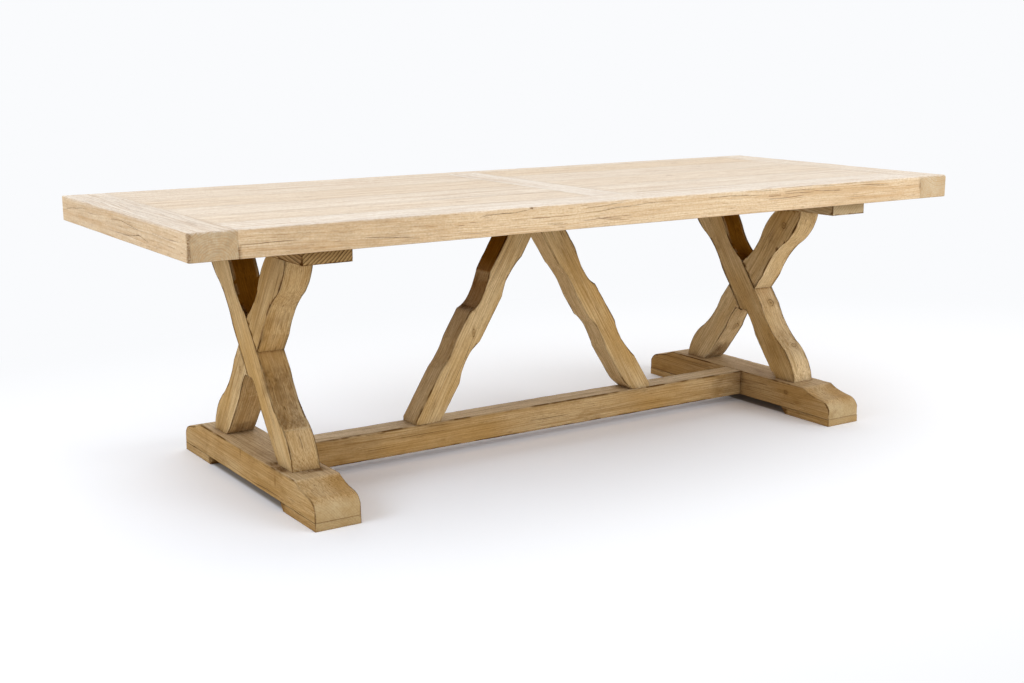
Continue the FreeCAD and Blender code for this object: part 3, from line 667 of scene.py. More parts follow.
def add_knot(g, colour, place, seen, look):
    """A small knot: a dark heart, a few faint rings and a broken dark rim, out of round."""
    bent = g.vector("ADD", place, g.stretched(seen["ripple"], KNOT_BEND))
    reach = g.vector("LENGTH", bent, output="Value")
    part = {name: g.span(reach, *ends) for name, ends in KNOT_PARTS.items()}
    rings = g.math("PINGPONG", g.times(reach, KNOT_RINGS), 1.0)
    colour = g.mix(g.times(part["halo"], HALO_SHARE), colour, look["streak"])
    rings = g.times(part["inside"], g.span(rings, *RING_SPAN), RING_SHARE)
    colour = g.mix(rings, colour, look["late"])
    rim = g.times(part["rim"], part["in_rim"], g.span(seen["patches"], 0.0, 1.0, *RIM_RANGE))
    return g.mix(g.math("MAXIMUM", rim, g.times(part["heart"], HEART_SHARE)), colour, look["line"])


def pattern(g, place, along, across, detail, roughness, start, full, least=0.0):
    """One pattern of stretched noise, from its least value to 1."""
    shade = g.noise(g.stretched(place, (along, across, across)), detail, roughness)
    return g.span(shade, start, full, least)


def grain_bend(g, grain, stretch, detail):
    """Smooth noise around zero in all directions, for bending the grain."""
    drift = g.noise(g.stretched(grain, stretch), detail, 0.5, "Color")
    return g.vector("SUBTRACT", drift, (0.5, 0.5, 0.5))


def late_wood(g, radius, look):
    """The dark outer part of each ring, fainter in some rings than in others."""
    phase = g.math("DIVIDE", radius, look["ring_width"])
    place = g.math("FRACT", phase)
    ring = g.node("TexWhiteNoise", [("W", g.math("FLOOR", phase))], noise_dimensions="1D")
    strength = g.span(ring.outputs["Value"], 0.0, 1.0, look["faintest"])
    return g.times(g.span(place, look["early"], RING_EDGE), g.span(place, 1.0, RING_EDGE), strength)


def wood_rays(g, bent, radius):
    """Rays that fan out from the pith."""
    parts = g.node("SeparateXYZ", [(0, bent)]).outputs
    turn = g.times(g.math("ARCTAN2", parts[1], parts[2]), RAY_TURN)
    fan = g.node("CombineXYZ", [(0, turn), (1, g.times(radius, RAY_REACH))]).outputs[0]
    return g.span(g.noise(fan, 2.0, 0.6), *RAY_SPAN)


def wood_patterns(g, look):
    """All that is seen in a piece's own grain: rings, rays and the patterns above."""
    grain = g.attribute("grain", "Vector")
    ripple = grain_bend(g, grain, *RIPPLE_BEND)
    slow = grain_bend(g, grain, *SLOW_BEND)
    bent = g.vector("ADD", grain, g.stretched(slow, (0, look["wander"], look["wander"])))
    bent = g.vector("ADD", bent, g.stretched(ripple, (0, look["ripple"], look["ripple"])))
    radius = g.vector("LENGTH", g.stretched(bent, (0, 1, 1)), output="Value")
    seen = {"ripple": ripple, "late": late_wood(g, radius, look), "rays": wood_rays(g, bent, radius)}
    for name, row in BENT_PATTERNS.items():
        seen[name] = pattern(g, bent, *row)
    for name, row in EVEN_PATTERNS.items():
        seen[name] = pattern(g, grain, *row)
    return seen


def clean_colour(g, seen, tone, look):
    """The wood before wear and dirt: clouds, bleach and painted light, rings, rays, fibres, streaks, flecks
    and knots.
    """
    bleach_and_painted_light = g.attribute("bleach_and_painted_light", "Fac")
    ends = g.attribute("ends", "Fac")
    plain = g.span(bleach_and_painted_light, 0.0, 1.0, 1.0, look["grain_under_bleach_and_light"])
    along = g.span(ends, 0.0, 1.0, 1.0, END_FIBRES)
    across = g.span(ends, 0.0, 1.0, 1.0, look["end_rings"])
    drawn = g.span(tone, 0.0, 1.0, look["rings_faint"], look["rings"])
    colour = g.mix(seen["clouds"], look["pale"], look["warm"])
    # Bleach on upper faces, which in the base also carry painted light, and painted light on the listed
    # faces
    colour = g.mix(g.times(bleach_and_painted_light, look["bleach_and_light_share"]), colour, look["bleach_and_light_colour"])
    colour = g.mix(g.times(ends, look["ends"]), colour, look["end"], "MULTIPLY")
    layers = (
        ("late", (seen["late"], drawn, across)),
        ("late", (ends, seen["rays"], look["rays"])),
        ("fibre", (seen["fibres"], look["fibres"], along, plain)),
        ("streak", (seen["streaks"], look["streaks"], along)),
        ("fibre", (seen["speckles"], look["speckles"], plain)),
        ("smudge", (seen["smudges"], look["smudges"])),
        ("fleck", (seen["flecks"], look["flecks"], along)),
        ("line", (seen["lines"], look["lines"], along)),
    )
    for paint, shares in layers:
        colour = g.mix(g.times(*shares), colour, look[paint])
    for layer in KNOT_LAYERS:
        colour = add_knot(g, colour, g.attribute(layer, "Vector"), seen, look)
    return colour


def wood_dirt_and_shade(g, arris, seen, look):
    """Dirt along the arrises, blotted dark patches of dirt and painted shade, and pits where these are
    strong.
    """
    stain_and_painted_shade = g.attribute("stain_and_painted_shade", "Fac")
    grime = g.times(arris, g.span(seen["patches"], 0.0, 1.0, LEAST_GRIME), look["dirt"])
    dirt = g.math("MAXIMUM", grime, g.times(stain_and_painted_shade, seen["blots"], look["stain_and_shade_strength"]))
    pits = g.times(g.span(stain_and_painted_shade, *PIT_DARK_PATCH), g.span(seen["speckles"], *PIT_SPECKLE), look["pits"])
    return g.math("MAXIMUM", dirt, pits)


def wood_material(name, look):
    """Old elm, read from each piece's own grain, with its wear, dirt, painted light and shade, and depth of
    colour.
    """
    material, g = new_material(name)
    seen = wood_patterns(g, look)
    tone = g.attribute("tone", "Fac")
    painted_shade = g.attribute("painted_shade", "Fac")
    arris = g.span(g.attribute("worn", "Fac"), *ARRIS_SPAN)
    rubbed = g.times(arris, g.math("SUBTRACT", 1.0, seen["patches"]), look["wear"])
    # Dirt, with the painted shade of the patches round joints and of the marked patches
    dirt = wood_dirt_and_shade(g, arris, seen, look)
    colour = g.mix(rubbed, clean_colour(g, seen, tone, look), look["bare"])
    colour = g.mix(dirt, colour, look["stain_and_painted_shade"])
    colour = g.mix(tone, colour, look["deep"], "MULTIPLY")
    # Painted shade, multiplied in on undersides, inner ends of the pads, upward faces under the top and the
    # listed sides
    colour = g.mix(painted_shade, colour, look["painted_shade"], "MULTIPLY")
    relief = g.times(seen["late"], LATE_RELIEF)
    for sunken, depth in SUNKEN.items():
        relief = g.math("MULTIPLY_ADD", seen[sunken], depth, relief)
    roughness = g.math("MULTIPLY_ADD", seen["streaks"], STREAK_ROUGHNESS, look["roughness"])
    # Less sheen under dirt, and none where shade is painted
    shine = g.times(g.span(dirt, 0.0, DULL_DIRT_AND_SHADE, look["specular"], 0.0), g.math("SUBTRACT", 1.0, painted_shade))
    g.finish(colour, roughness, relief, look["bump"], shine)
    return material


# In each look one colour is multiplied in as painted shade, and a pale colour is mixed in for bleach and
# for painted light
TOP_LOOK = dict(
    pale=srgb(229, 208, 177), warm=srgb(211, 186, 151), late=srgb(178, 145, 104),
    fibre=srgb(194, 157, 112), streak=srgb(190, 151, 104), smudge=srgb(202, 167, 122),
    end=srgb(232, 238, 244), fleck=srgb(140, 101, 60), line=srgb(120, 81, 46),
    bare=srgb(246, 232, 208), stain_and_painted_shade=srgb(96, 64, 34), deep=srgb(244, 230, 206),
    painted_shade=srgb(142, 112, 80), bleach_and_light_colour=srgb(255, 246, 232),
    wander=0.05, ripple=0.007, ring_width=0.0056, early=0.35,
    rings=0.4, rings_faint=0.4, end_rings=1.8,
    fibres=0.5, streaks=0.5, speckles=0.42, smudges=0.2, ends=1.0, rays=0.6,
    flecks=0.5, lines=0.7, wear=0.25, dirt=0.1, pits=0.9, stain_and_shade_strength=0.8, bleach_and_light_share=0.95,
    grain_under_bleach_and_light=0.8, roughness=0.4, bump=0.4, specular=0.4, faintest=0.3,
)
BASE_LOOK = dict(
    pale=srgb(226, 202, 161), warm=srgb(199, 163, 107), late=srgb(152, 116, 62),
    fibre=srgb(156, 120, 66), streak=srgb(142, 106, 54), smudge=srgb(134, 98, 48),
    end=srgb(230, 236, 242), fleck=srgb(104, 69, 30), line=srgb(80, 51, 20),
    bare=srgb(230, 206, 166), stain_and_painted_shade=srgb(84, 52, 18), deep=srgb(219, 206, 184),
    painted_shade=srgb(168, 130, 58), bleach_and_light_colour=srgb(240, 220, 186),
    wander=0.05, ripple=0.004, ring_width=0.0062, early=0.35,
    rings=0.36, rings_faint=0.36, end_rings=0.7,
    fibres=0.5, streaks=0.36, speckles=0.2, smudges=0.35, ends=0.8, rays=0.2,
    flecks=0.45, lines=0.7, wear=0.2, dirt=0.85, pits=0.5, stain_and_shade_strength=0.85, bleach_and_light_share=0.6,
    grain_under_bleach_and_light=1.0, roughness=0.6, bump=0.4, specular=0.08, faintest=0.3,
)
CLEAT_LOOK = dict(
    BASE_LOOK, pale=srgb(212, 194, 162), warm=srgb(196, 174, 138), late=srgb(62, 40, 18), rings=1.0,
    rings_faint=0.3, early=0.25, deep=srgb(214, 194, 162), end_rings=1.0, ring_width=0.0076, wander=0.02,
    ends=0.1, stain_and_shade_strength=0.3, smudges=0.15, faintest=0.7)
# Inside the splits the wood is painted dark brown, as painted shade
SPLIT_SHADE_LOOK = dict(
    BASE_LOOK, pale=srgb(112, 76, 42), warm=srgb(92, 60, 32), wear=0.0, dirt=0.0, specular=0.0,
    roughness=0.9)
LOOKS = {"top_wood": TOP_LOOK, "base_wood": BASE_LOOK, "cleat_wood": CLEAT_LOOK}

woods = {slot: wood_material(slot, look) for slot, look in LOOKS.items()}
split_painted_shade = wood_material("split_painted_shade", SPLIT_SHADE_LOOK)


STEEL_DULLING = (300.0, 300.0, 3.0, 0.6, 0.3, 0.7)
STEEL_BRIGHT, STEEL_DULL = srgb(182, 182, 184), srgb(140, 138, 134)
STEEL_ROUGHNESS, DULL_ROUGHNESS = 0.3, 0.25
STEEL_BUMP, STEEL_SPECULAR = 0.1, 0.5


def steel_material():
    """Plain zinc-plated screws, slightly dulled."""
    material, g = new_material("steel")
    dull = pattern(g, g.node("NewGeometry").outputs["Position"], *STEEL_DULLING)
    roughness = g.math("MULTIPLY_ADD", dull, DULL_ROUGHNESS, STEEL_ROUGHNESS)
    colour = g.mix(dull, STEEL_BRIGHT, STEEL_DULL)
    g.finish(colour, roughness, dull, STEEL_BUMP, STEEL_SPECULAR, metallic=1.0)
    return material


# Turning meshes into dressed pieces

def write_attribute(mesh, name, kind, domain, values):
    layer = mesh.attributes.new(name, kind, domain)
    layer.data.foreach_set("vector" if kind == "FLOAT_VECTOR" else "value", values)


def grain_places(mesh, origin, axes):
    flat = []
    for vert in mesh.vertices:
        flat += [(vert.co - origin).dot(axis) for axis in axes]
    return flat


def surface_tree(names):
    """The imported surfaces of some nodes, for finding the nearest one."""
    corners, faces = [], []
    for name in names:
        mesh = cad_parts[name].data
        first = len(corners)
        corners += [v.co for v in mesh.vertices]
        faces += [[first + i for i in face.vertices] for face in mesh.polygons]
    return BVHTree.FromPolygons(corners, faces)


def joint_dirt_and_shade(mesh, node, slot):
    """Dirt where another piece or the floor meets this one: a line, in the base with a patch of dirt and
    painted shade round it.
    """
    others = [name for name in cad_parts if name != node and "screws" not in name]
    kind = node.split("_")[0]
    apart = [name for name in others if name.split("_")[0] != kind]
    kin = [name for name in others if name not in apart]
    seam = PAD_SEAM_STAIN if kind == "foot" else LINE_STAIN
    groups = ((kin, SEAM_REACH, seam), (apart, SEAM_REACH, LINE_STAIN), (apart, DIRT_AND_SHADE_REACH, JOINT_DIRT_AND_SHADE))
    if slot == "top_wood":
        groups = ((others, SEAM_REACH, BOARD_STAIN),)
    values = [LINE_STAIN * math.exp(-vert.co.z / SEAM_REACH) for vert in mesh.vertices]
    for names, reach, strength in groups:
        tree = surface_tree(names)
        for i, vert in enumerate(mesh.vertices):
            gap = tree.find_nearest(vert.co, 4 * reach)[3]
            if gap is not None:
                values[i] = max(values[i], strength * math.exp(-gap / reach))
    return values


def share_of(value, low, high):
    """Where a value lies between two others, from 0 to 1."""
    return min(1.0, max(0.0, (value - low) / (high - low)))


def spot_stains_and_shade(mesh, node):
    """Dark patches at known places on a piece, dirt and painted shade as marked, and darkening that grows
    with the depth of a chisel cut.
    """
    values = [0.0] * len(mesh.vertices)
    for centre, size, strength in STAINS_AND_PAINTED_SHADE.get(node, ()):
        for i, vert in enumerate(mesh.vertices):
            gap = max(abs(vert.co[a] / MM - centre[a]) / size[a] for a in range(3))
            values[i] = max(values[i], strength * share_of(gap, *SPOT_FADE))
    if node in CHISEL_CUTS:
        depths = [chisel_depth(node, vert) / MM for vert in mesh.vertices]
        values = [max(value, CUT_DARKENING * depth) for value, depth in zip(values, depths)]
    return values


def write_knots(mesh, node):
    """Where each point lies from the piece's two knots, in knot radii. Without a knot that is far away."""
    for layer, (centre, sizes) in zip(KNOT_LAYERS, KNOTS.get(node, ()) + (NO_KNOT, NO_KNOT)):
        flat = []
        for vert in mesh.vertices:
            flat += [(vert.co[axis] / MM - centre[axis]) / sizes[axis] for axis in range(3)]
        write_attribute(mesh, layer, "FLOAT_VECTOR", "POINT", flat)


def facing(node, vert, rules):
    """How much the rules for some pieces' faces hold at a place."""
    named = [(way, much) for name, way, much in rules if node.startswith(name)]
    return max((much * share_of(vert.normal.dot(way), *NAMED_FACING) for way, much in named), default=0.0)


def bleach_and_painted_light_share(node, vert, top):
    """How pale a place is: the upper face of a piece, pale with bleach and in the base also with painted
    light, and the listed faces, with painted light.
    """
    upper = share_of(vert.co.z, top - LIME_EDGE, top - SNAP) * max(0.0, vert.normal.z)
    return max(upper, facing(node, vert, PAINTED_LIGHT_FACES))


def painted_shade_share(node, slot, vert):
    """How much painted shade a place gets: undersides, inner ends of the pads, upward faces close under the
    top, and the sides listed for it.
    """
    if slot == "top_wood":
        return share_of(-vert.normal.z, *TOP_BELOW)
    if "pad" in node:
        return share_of(-vert.normal.y * math.copysign(1, vert.co.y), *BELOW)
    kind = node.split("_")[0]
    if kind not in SHADE_RISE:
        return max(share_of(-vert.normal.z, *BELOW), facing(node, vert, PAINTED_SHADE_FACES))
    rise = share_of(vert.co.z, *SHADE_RISE[kind])
    if node in LEDGES:
        above = vert.co.z > LEDGES[node]
        rise = min(1.0, rise + LEDGE_SHADE) if above else 0.5 * (rise + LEDGE_SHADE)
    return max(rise * share_of(vert.normal.z, *UPWARD), facing(node, vert, PAINTED_SHADE_FACES))


def dress(piece, node, slot, axes, pith, tone, worn):
    """Gives a piece its grain, its other attributes and its place in the frame."""
    mesh = piece.data
    low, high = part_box(node)
    run = Vector((rng.uniform(-GRAIN_SHIFT, GRAIN_SHIFT), *pith))
    origin = (low + high) / 2 - sum((axis * reach for axis, reach in zip(axes, run)), Vector())
    fields = {
        "worn": worn,
        # Among these: dark patches of dirt and painted shade, painted shade on whole faces, and bleach with
        # painted light
        "stain_and_painted_shade": [max(pair) for pair in zip(spot_stains_and_shade(mesh, node), joint_dirt_and_shade(mesh, node, slot))],
        "tone": [tone] * len(mesh.vertices),
        "painted_shade": [painted_shade_share(node, slot, vert) for vert in mesh.vertices],
        "bleach_and_painted_light": [bleach_and_painted_light_share(node, vert, high.z) for vert in mesh.vertices],
    }
    for name, values in fields.items():
        write_attribute(mesh, name, "FLOAT", "POINT", values)
    ends = [share_of(abs(face.normal.dot(axes[0])), *END_FACING) for face in mesh.polygons]
    write_attribute(mesh, "ends", "FLOAT", "FACE", ends)
    write_attribute(mesh, "grain", "FLOAT_VECTOR", "POINT", grain_places(mesh, origin, axes))
    write_knots(mesh, node)
    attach(piece, "root")
    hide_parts(node)


def add_object(name, data):
    """A new object in the scene."""
    made = bpy.data.objects.new(name, data)
    bpy.context.scene.collection.objects.link(made)
    return made


def new_piece(name, bm, material):
    mesh = bpy.data.meshes.new(name)
    bm.to_mesh(mesh)
    bm.free()
    mesh.materials.append(material)
    return add_object(name, mesh)


def board_wear(mesh, low, high):
    """How worn each point of a board is: full on the table's own arrises, fading away from them."""
    values = []
    for vert in mesh.vertices:
        gaps = [vert.co.x - TABLE_LOW.x, TABLE_HIGH.x - vert.co.x, vert.co.y - TABLE_LOW.y,
                TABLE_HIGH.y - vert.co.y]
        sides = sorted(gaps + [high.z - vert.co.z, vert.co.z - low.z])
        values.append(max(0.0, 1 - sides[1] / WORN_RIM))
    return values


def arris_wear(bm):
    """How worn each point is: full where an arris was rounded."""
    mark = bm.faces.layers.int["arris"]
    return [1.0 if any(face[mark] for face in vert.link_faces) else 0.0 for vert in bm.verts]


def make_board(node, axes, pith, tone, steps, nicks=(), splits=()):
    bm = worn_board(node, steps, nicks)
    piece = new_piece(f"worn_{node}", bm, woods["top_wood"])
    if splits:
        cut_splits(piece, splits, split_painted_shade)
    piece.data.shade_smooth()
    piece.data.set_sharp_from_angle(angle=SMOOTH_ANGLE)
    low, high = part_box(node)
    dress(piece, node, "top_wood", axes, pith, tone, board_wear(piece.data, low, high))


def make_solid(node, kind, slot, arrises, axes, pith, tone, shows):
    steps, sink = SURFACES[kind]
    bm = worn_solid(node, arrises, axes, [step * MM for step in steps], sink * MM, shows)
    worn = arris_wear(bm)
    for face in bm.faces:
        face.smooth = True
    piece = new_piece(f"worn_{node}", bm, woods[slot])
    dress(piece, node, slot, axes, pith, tone, worn)


# The splits read off the front edge and the left end: how open, how deep, then places along and up.
# All but the opening is in millimetres
FRONT_SPLITS = (
    (1.1, 6, ((-1127, 732), (-1060, 733), (-985, 733))),
    (1.2, 7, ((-812, 725), (-755, 721), (-700, 717), (-660, 713))),
    (1.4, 8, ((-486, 752), (-440, 756), (-380, 756), (-345, 760), (-325, 764))),
    (0.9, 6, ((-160, 752), (-110, 755), (-60, 760), (-30, 761))),
    (1.1, 7, ((-162, 742), (-120, 741), (-90, 744), (-45, 749), (0, 750), (60, 754), (132, 755))),
    (1.1, 7, ((262, 755), (350, 755), (400, 753), (462, 750))),
    (1.2, 7, ((400, 765), (470, 762), (530, 760))),
    (0.9, 6, ((490, 744), (540, 745))),
    (1.0, 6, ((550, 754), (600, 756), (675, 754))),
    (1.1, 7, ((555, 747), (610, 749), (668, 747))),
    (1.2, 7, ((670, 751), (722, 748), (775, 746))),
    (0.9, 6, ((684, 764), (755, 761))),
    (1.1, 7, ((776, 763), (850, 766), (912, 763))),
    (1.4, 8, ((862, 757), (912, 755), (950, 752), (986, 750))),
    (0.8, 5, ((-282, 720), (-232, 717))),
    (0.8, 5, ((-132, 728), (-95, 721), (-75, 717), (-38, 716))),
)
LEFT_SPLITS = (
    (1.4, 8, ((-40, 716), (-100, 721), (-158, 727), (-190, 723), (-222, 717))),
    (1.0, 6, ((55, 745), (0, 749), (-30, 750), (-75, 746), (-155, 741))),
    (0.8, 5, ((470, 730), (400, 741), (350, 745), (255, 753))),
)
# Knocked spots of the front arris: place along it and size
FRONT_NICKS = ((-1.24, 0.004), (-0.332, 0.005), (-0.308, 0.003), (0.018, 0.004), (0.065, 0.004),
               (0.46, 0.003), (0.86, 0.003), (0.972, 0.003), (1.004, 0.003))

# Knots of each piece: centre and half sizes, in millimetres
NO_KNOT = ((0, 0, 9000), (10, 10, 10))
KNOTS = {
    "leg_right_back": (((840, -190, 607), (12, 9, 10)), ((888, 72, 229), (12, 10, 12))),
    "leg_right_front": (((884, -96, 337), (12, 10, 12)), ((894, -201, 210), (8, 8, 8))),
    "brace_left": (((-234, -40, 352), (4, 8, 12)),),
    "leg_left_back": (((-920, 57, 311), (8, 7, 9)),),
    "left_field_plank_3": (((-700, 60, 768), (9, 6, 8)),),
    "left_field_plank_1": (((-420, -280, 768), (10, 6, 8)),),
    "right_field_plank_2": (((520, 0, 768), (9, 6, 8)),),
    "right_field_plank_4": (((830, 350, 768), (11, 7, 8)),),
    "brace_right": (((160, 40, 380), (9, 10, 12)),),
    "leg_left_front": (((-840, 60, 480), (10, 9, 11)),),
    "stretcher": (((330, 40, 70), (13, 10, 9)),),
    "foot_left": (((-944, 23, 92), (10, 3, 9)), ((-944, -206, 71), (10, 4, 11))),
    "foot_right": (((816, -250, 72), (10, 7, 6)),),
}

# Faces lightened as painted light and faces darkened as painted shade: start of the piece's name, the way
# they face, how much
PAINTED_LIGHT_FACES = (
    ("leg_right", -Y, 0.6), ("brace_right", -X, 0.8), ("foot", -Y, 0.35), ("breadboard_end_left", -X, 0.2),
    ("front_edge_board", -Y, 0.12), ("cleat_left", -X, 0.7),
)
PAINTED_SHADE_FACES = (("leg_left", -Y, 0.16), ("foot_right", -X, 0.12), ("stretcher", -Y, 0.12))

# Dark patches of each piece: centre and half sizes in millimetres, and strength. Those marked are painted
# shade.
STAINS_AND_PAINTED_SHADE = {
    "front_edge_board": (
        ((-1130, -485, 714), (9, 10, 22), 0.9),
        ((1130, -485, 748), (7, 10, 22), 0.7),
        ((-328, -485, 766), (9, 10, 7), 0.9),
        # Painted shade: the left part of the front edge darker
        ((-930, -485, 730), (420, 20, 70), 0.24),
    ),
    "breadboard_end_left": (
        ((-1250, -485, 757), (12, 12, 13), 1.0),
        ((-1250, -485, 735), (9, 9, 30), 0.8),
        ((-1250, -485, 704), (13, 13, 10), 1.0),
        # Painted shade: the front, the top and the end of the left end darker
        ((-1190, -485, 735), (90, 16, 70), 0.3),
        ((-1190, 0, 768), (80, 520, 12), 0.2),
        ((-1250, 0, 734), (12, 520, 60), 0.2),
    ),
    "leg_left_back": (
        # The next two are painted shade on the upper part of the leg, under the top
        ((-880, -345, 610), (60, 60, 50), 0.35),
        ((-880, -170, 440), (60, 60, 50), 0.4),
        ((-930, 60, 520), (40, 200, 120), 0.3),
        ((-875, 145, 115), (46, 40, 30), 0.6),
    ),
    "leg_right_front": (((880, -200, 230), (60, 60, 70), 0.25),),
    "foot_left": (
        ((-880, -60, 100), (60, 260, 12), 0.16),
        ((-922, -195, 103), (28, 64, 8), 1.0),
        ((-866, -272, 103), (48, 14, 8), 0.9),
    ),
    "foot_right": (((848, -215, 103), (26, 50, 8), 0.5), ((880, -60, 100), (60, 300, 12), 0.16)),
    "stretcher": (((-690, -40, 75), (180, 12, 60), 0.25), ((760, -40, 75), (90, 12, 60), 0.4)),
    "brace_left": (((-238, 0, 426), (14, 50, 10), 0.8),),
    "leg_left_front": (((-880, -130, 325), (60, 50, 60), 0.7),),
    "leg_right_back": (((885, 140, 122), (46, 45, 48), 0.8),),
}
# Painted shade on the inner ends of the pads
for side, x in (("left", -880), ("right", 880)):
    for end, y in (("front", -240), ("back", 240)):
        STAINS_AND_PAINTED_SHADE[f"foot_pad_{side}_{end}"] = (((x, y, 11), (130, 22, 34), 1.0),)


def placed(splits, place, normal):
    """Splits as points on a face of the table."""
    return [([place(along * MM, up * MM) for along, up in line], normal, opening, depth)
            for opening, depth, line in splits]


# Direction of the grain and the two directions across it
ALONG_X = (X, Y, Z)
ALONG_Y = (Y, X, Z)
CLEAT_RUN = Vector((0, 1, 0.16)).normalized()
CLEAT_RINGS = Vector((0.85, 0.16, -1)).normalized()
CLEAT_GRAIN = (CLEAT_RUN, CLEAT_RINGS, CLEAT_RUN.cross(CLEAT_RINGS))

# Spacing of the boards' grid lines along X, Y and Z, in millimetres
FINE_GRID, PLAIN_GRID, END_GRID = (9, 16, 9), (24, 24, 11), (16, 10, 9)

# The base's pieces: spacing of grid lines along and across the grain, and how far uneven faces sink at
# most, in millimetres
SURFACES = {
    "leg": ((12, 14, 12), 0.9), "brace": ((12, 14, 12), 0.9), "foot": ((14, 16, 14), 0.7),
    "pad": ((14, 16, 11), 0.3), "stretcher": ((16, 14, 14), 0.8), "cleat": ((20, 16, 12), 0.4),
}

# Edge, end and cross boards: grain, place of the pith from the board's middle, depth of colour and grid
BOARDS = {
    "front_edge_board": (ALONG_X, (0.03, 0.09), 0.1, FINE_GRID),
    "back_edge_board": (ALONG_X, (-0.02, 0.1), 0.5, PLAIN_GRID),
    "breadboard_end_left": (ALONG_Y, (-0.012, 0.045), 0.25, END_GRID),
    "breadboard_end_right": (ALONG_Y, (-0.03, -0.12), 0.3, END_GRID),
    "centre_cross_board": (ALONG_Y, (0.02, -0.08), 0.0, PLAIN_GRID),
}

# Places of the pith in the other pieces, or the range that each is drawn from
FIELD_PITH = ((-0.05, 0.05), (0.06, 0.13))
LEG_PITH = ((0.03, 0.09), (0.02, 0.06))
BRACE_PITH = ((0.04, 0.09), (-0.04, 0.04))
FOOT_PITH = (0.09, 0.09)
PAD_PITH = (0.02, 0.06)
STRETCHER_PITH = (0.03, 0.07)
CLEAT_PITH = (1.0, 0.0)

# Depth of colour, with the field planks from front to back
FIELD_TONES = {"left": (0.6, 0.4, 0.7, 0.5), "right": (0.4, 0.6, 0.45, 0.95)}
LEG_TONES = {"left": 0.2, "right": 0.0}
BRACE_TONE = 0.1
FOOT_TONES = {"left": 0.55, "right": 0.6}
PAD_TONES = {"left": 0.9, "right": 0.6}
STRETCHER_TONE = 0.3
CLEAT_TONES = {"cleat_left": 1.0, "cleat_right": 0.15, "centre_cleat": 0.5}


def make_top():
    front = placed(FRONT_SPLITS, lambda x, z: Vector((x, TABLE_LOW.y, z)), -Y)
    left = placed(LEFT_SPLITS, lambda y, z: Vector((TABLE_LOW.x, y, z)), -X)
    marks = {"front_edge_board": (FRONT_NICKS, front), "breadboard_end_left": ((), left)}
    for node, row in BOARDS.items():
        make_board(node, *row, *marks.get(node, ()))
    beside, above = FIELD_PITH
    for side in ("left", "right"):
        for number, tone in enumerate(FIELD_TONES[side], start=1):
            pith = (rng.uniform(*beside), rng.choice((-1, 1)) * rng.uniform(*above))
            make_board(f"{side}_field_plank_{number}", ALONG_X, pith, tone, PLAIN_GRID)


# Trestles, stretcher and braces

def lean_axis(node):
    """The direction from the middle of a piece's lowest points to the middle of its highest ones."""
    low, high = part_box(node)
    spots = [v.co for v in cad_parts[node].data.vertices]
    ends = []
    for level in (low.z, high.z):
        near = [spot for spot in spots if abs(spot.z - level) < SNAP]
        ends.append(sum(near, Vector()) / len(near))
    return ends[0], (ends[1] - ends[0]).normalized()


def between_joints(place):
    """Whether a place lies between the feet and the cleats."""
    return FOOT_TOP + SNAP < place.z < CLEAT_UNDERSIDE - SNAP


def below_top(place):
    return place.z < TOP_UNDERSIDE - SNAP


def above_floor(place):
    return place.z > SNAP


def anywhere(place):
    return True


def leg_arrises(node):
    """The open arrises of a leg, and those at the leg that crosses it, each with its width."""
    outer = on_faces(0, *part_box(node))
    start, crossing = lean_axis(crossing_leg(node))

    def lapped(edge):
        middle = middle_of(edge)
        spot = middle - start
        spot.x = 0
        off = (spot - crossing * spot.dot(crossing)).length
        return off < LAP_REACH and between_joints(middle) and abs(middle.z - LAP_HEIGHT) < LAP_RISE

    def open_arris(edge):
        return outer(edge) and between_joints(middle_of(edge)) and not lapped(edge)

    def lap_arris(edge):
        return outer(edge) and lapped(edge)

    return (LEG_ARRIS, open_arris), (SEAM_ARRIS, lap_arris)


def make_legs():
    aside, along = LEG_PITH
    for side in ("left", "right"):
        for end in ("front", "back"):
            node = f"leg_{side}_{end}"
            _, axis = lean_axis(node)
            axes = (axis, X, axis.cross(X))
            pith = (rng.uniform(*aside) * rng.choice((-1, 1)), rng.uniform(*along))
            make_solid(node, "leg", "base_wood", leg_arrises(node), axes, pith, LEG_TONES[side],
                       between_joints)


def make_braces():
    aside, along = BRACE_PITH
    for node in ("brace_left", "brace_right"):
        _, axis = lean_axis(node)
        outer = on_faces(1, *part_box(node))

        def arris(edge):
            return outer(edge) and between_joints(middle_of(edge))

        axes = (axis, Y, axis.cross(Y))
        pith = (rng.uniform(*aside), rng.uniform(*along))
        make_solid(node, "brace", "base_wood", ((BRACE_ARRIS, arris),), axes, pith, BRACE_TONE,
                   between_joints)


def make_pads(side):
    for end in ("front", "back"):
        pad = f"foot_pad_{side}_{end}"
        arrises = ((PAD_ARRIS, on_faces(0, *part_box(pad))),)
        make_solid(pad, "pad", "base_wood", arrises, ALONG_Y, PAD_PITH, PAD_TONES[side], above_floor)


def make_feet():
    for side in ("left", "right"):
        foot = f"foot_{side}"
        outer = on_faces(0, *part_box(foot))

        def upper(edge):
            return outer(edge) and middle_of(edge).z > PAD_TOP + SNAP

        def lower(edge):
            return outer(edge) and middle_of(edge).z <= PAD_TOP + SNAP

        arrises = ((FOOT_ARRIS, upper), (PAD_ARRIS, lower))
        make_solid(foot, "foot", "base_wood", arrises, ALONG_Y, FOOT_PITH, FOOT_TONES[side], anywhere)
        make_pads(side)


def make_stretcher():
    arrises = ((BRACE_ARRIS, on_faces(1, *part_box("stretcher"))),)
    make_solid("stretcher", "stretcher", "base_wood", arrises, ALONG_X, STRETCHER_PITH, STRETCHER_TONE,
               anywhere)


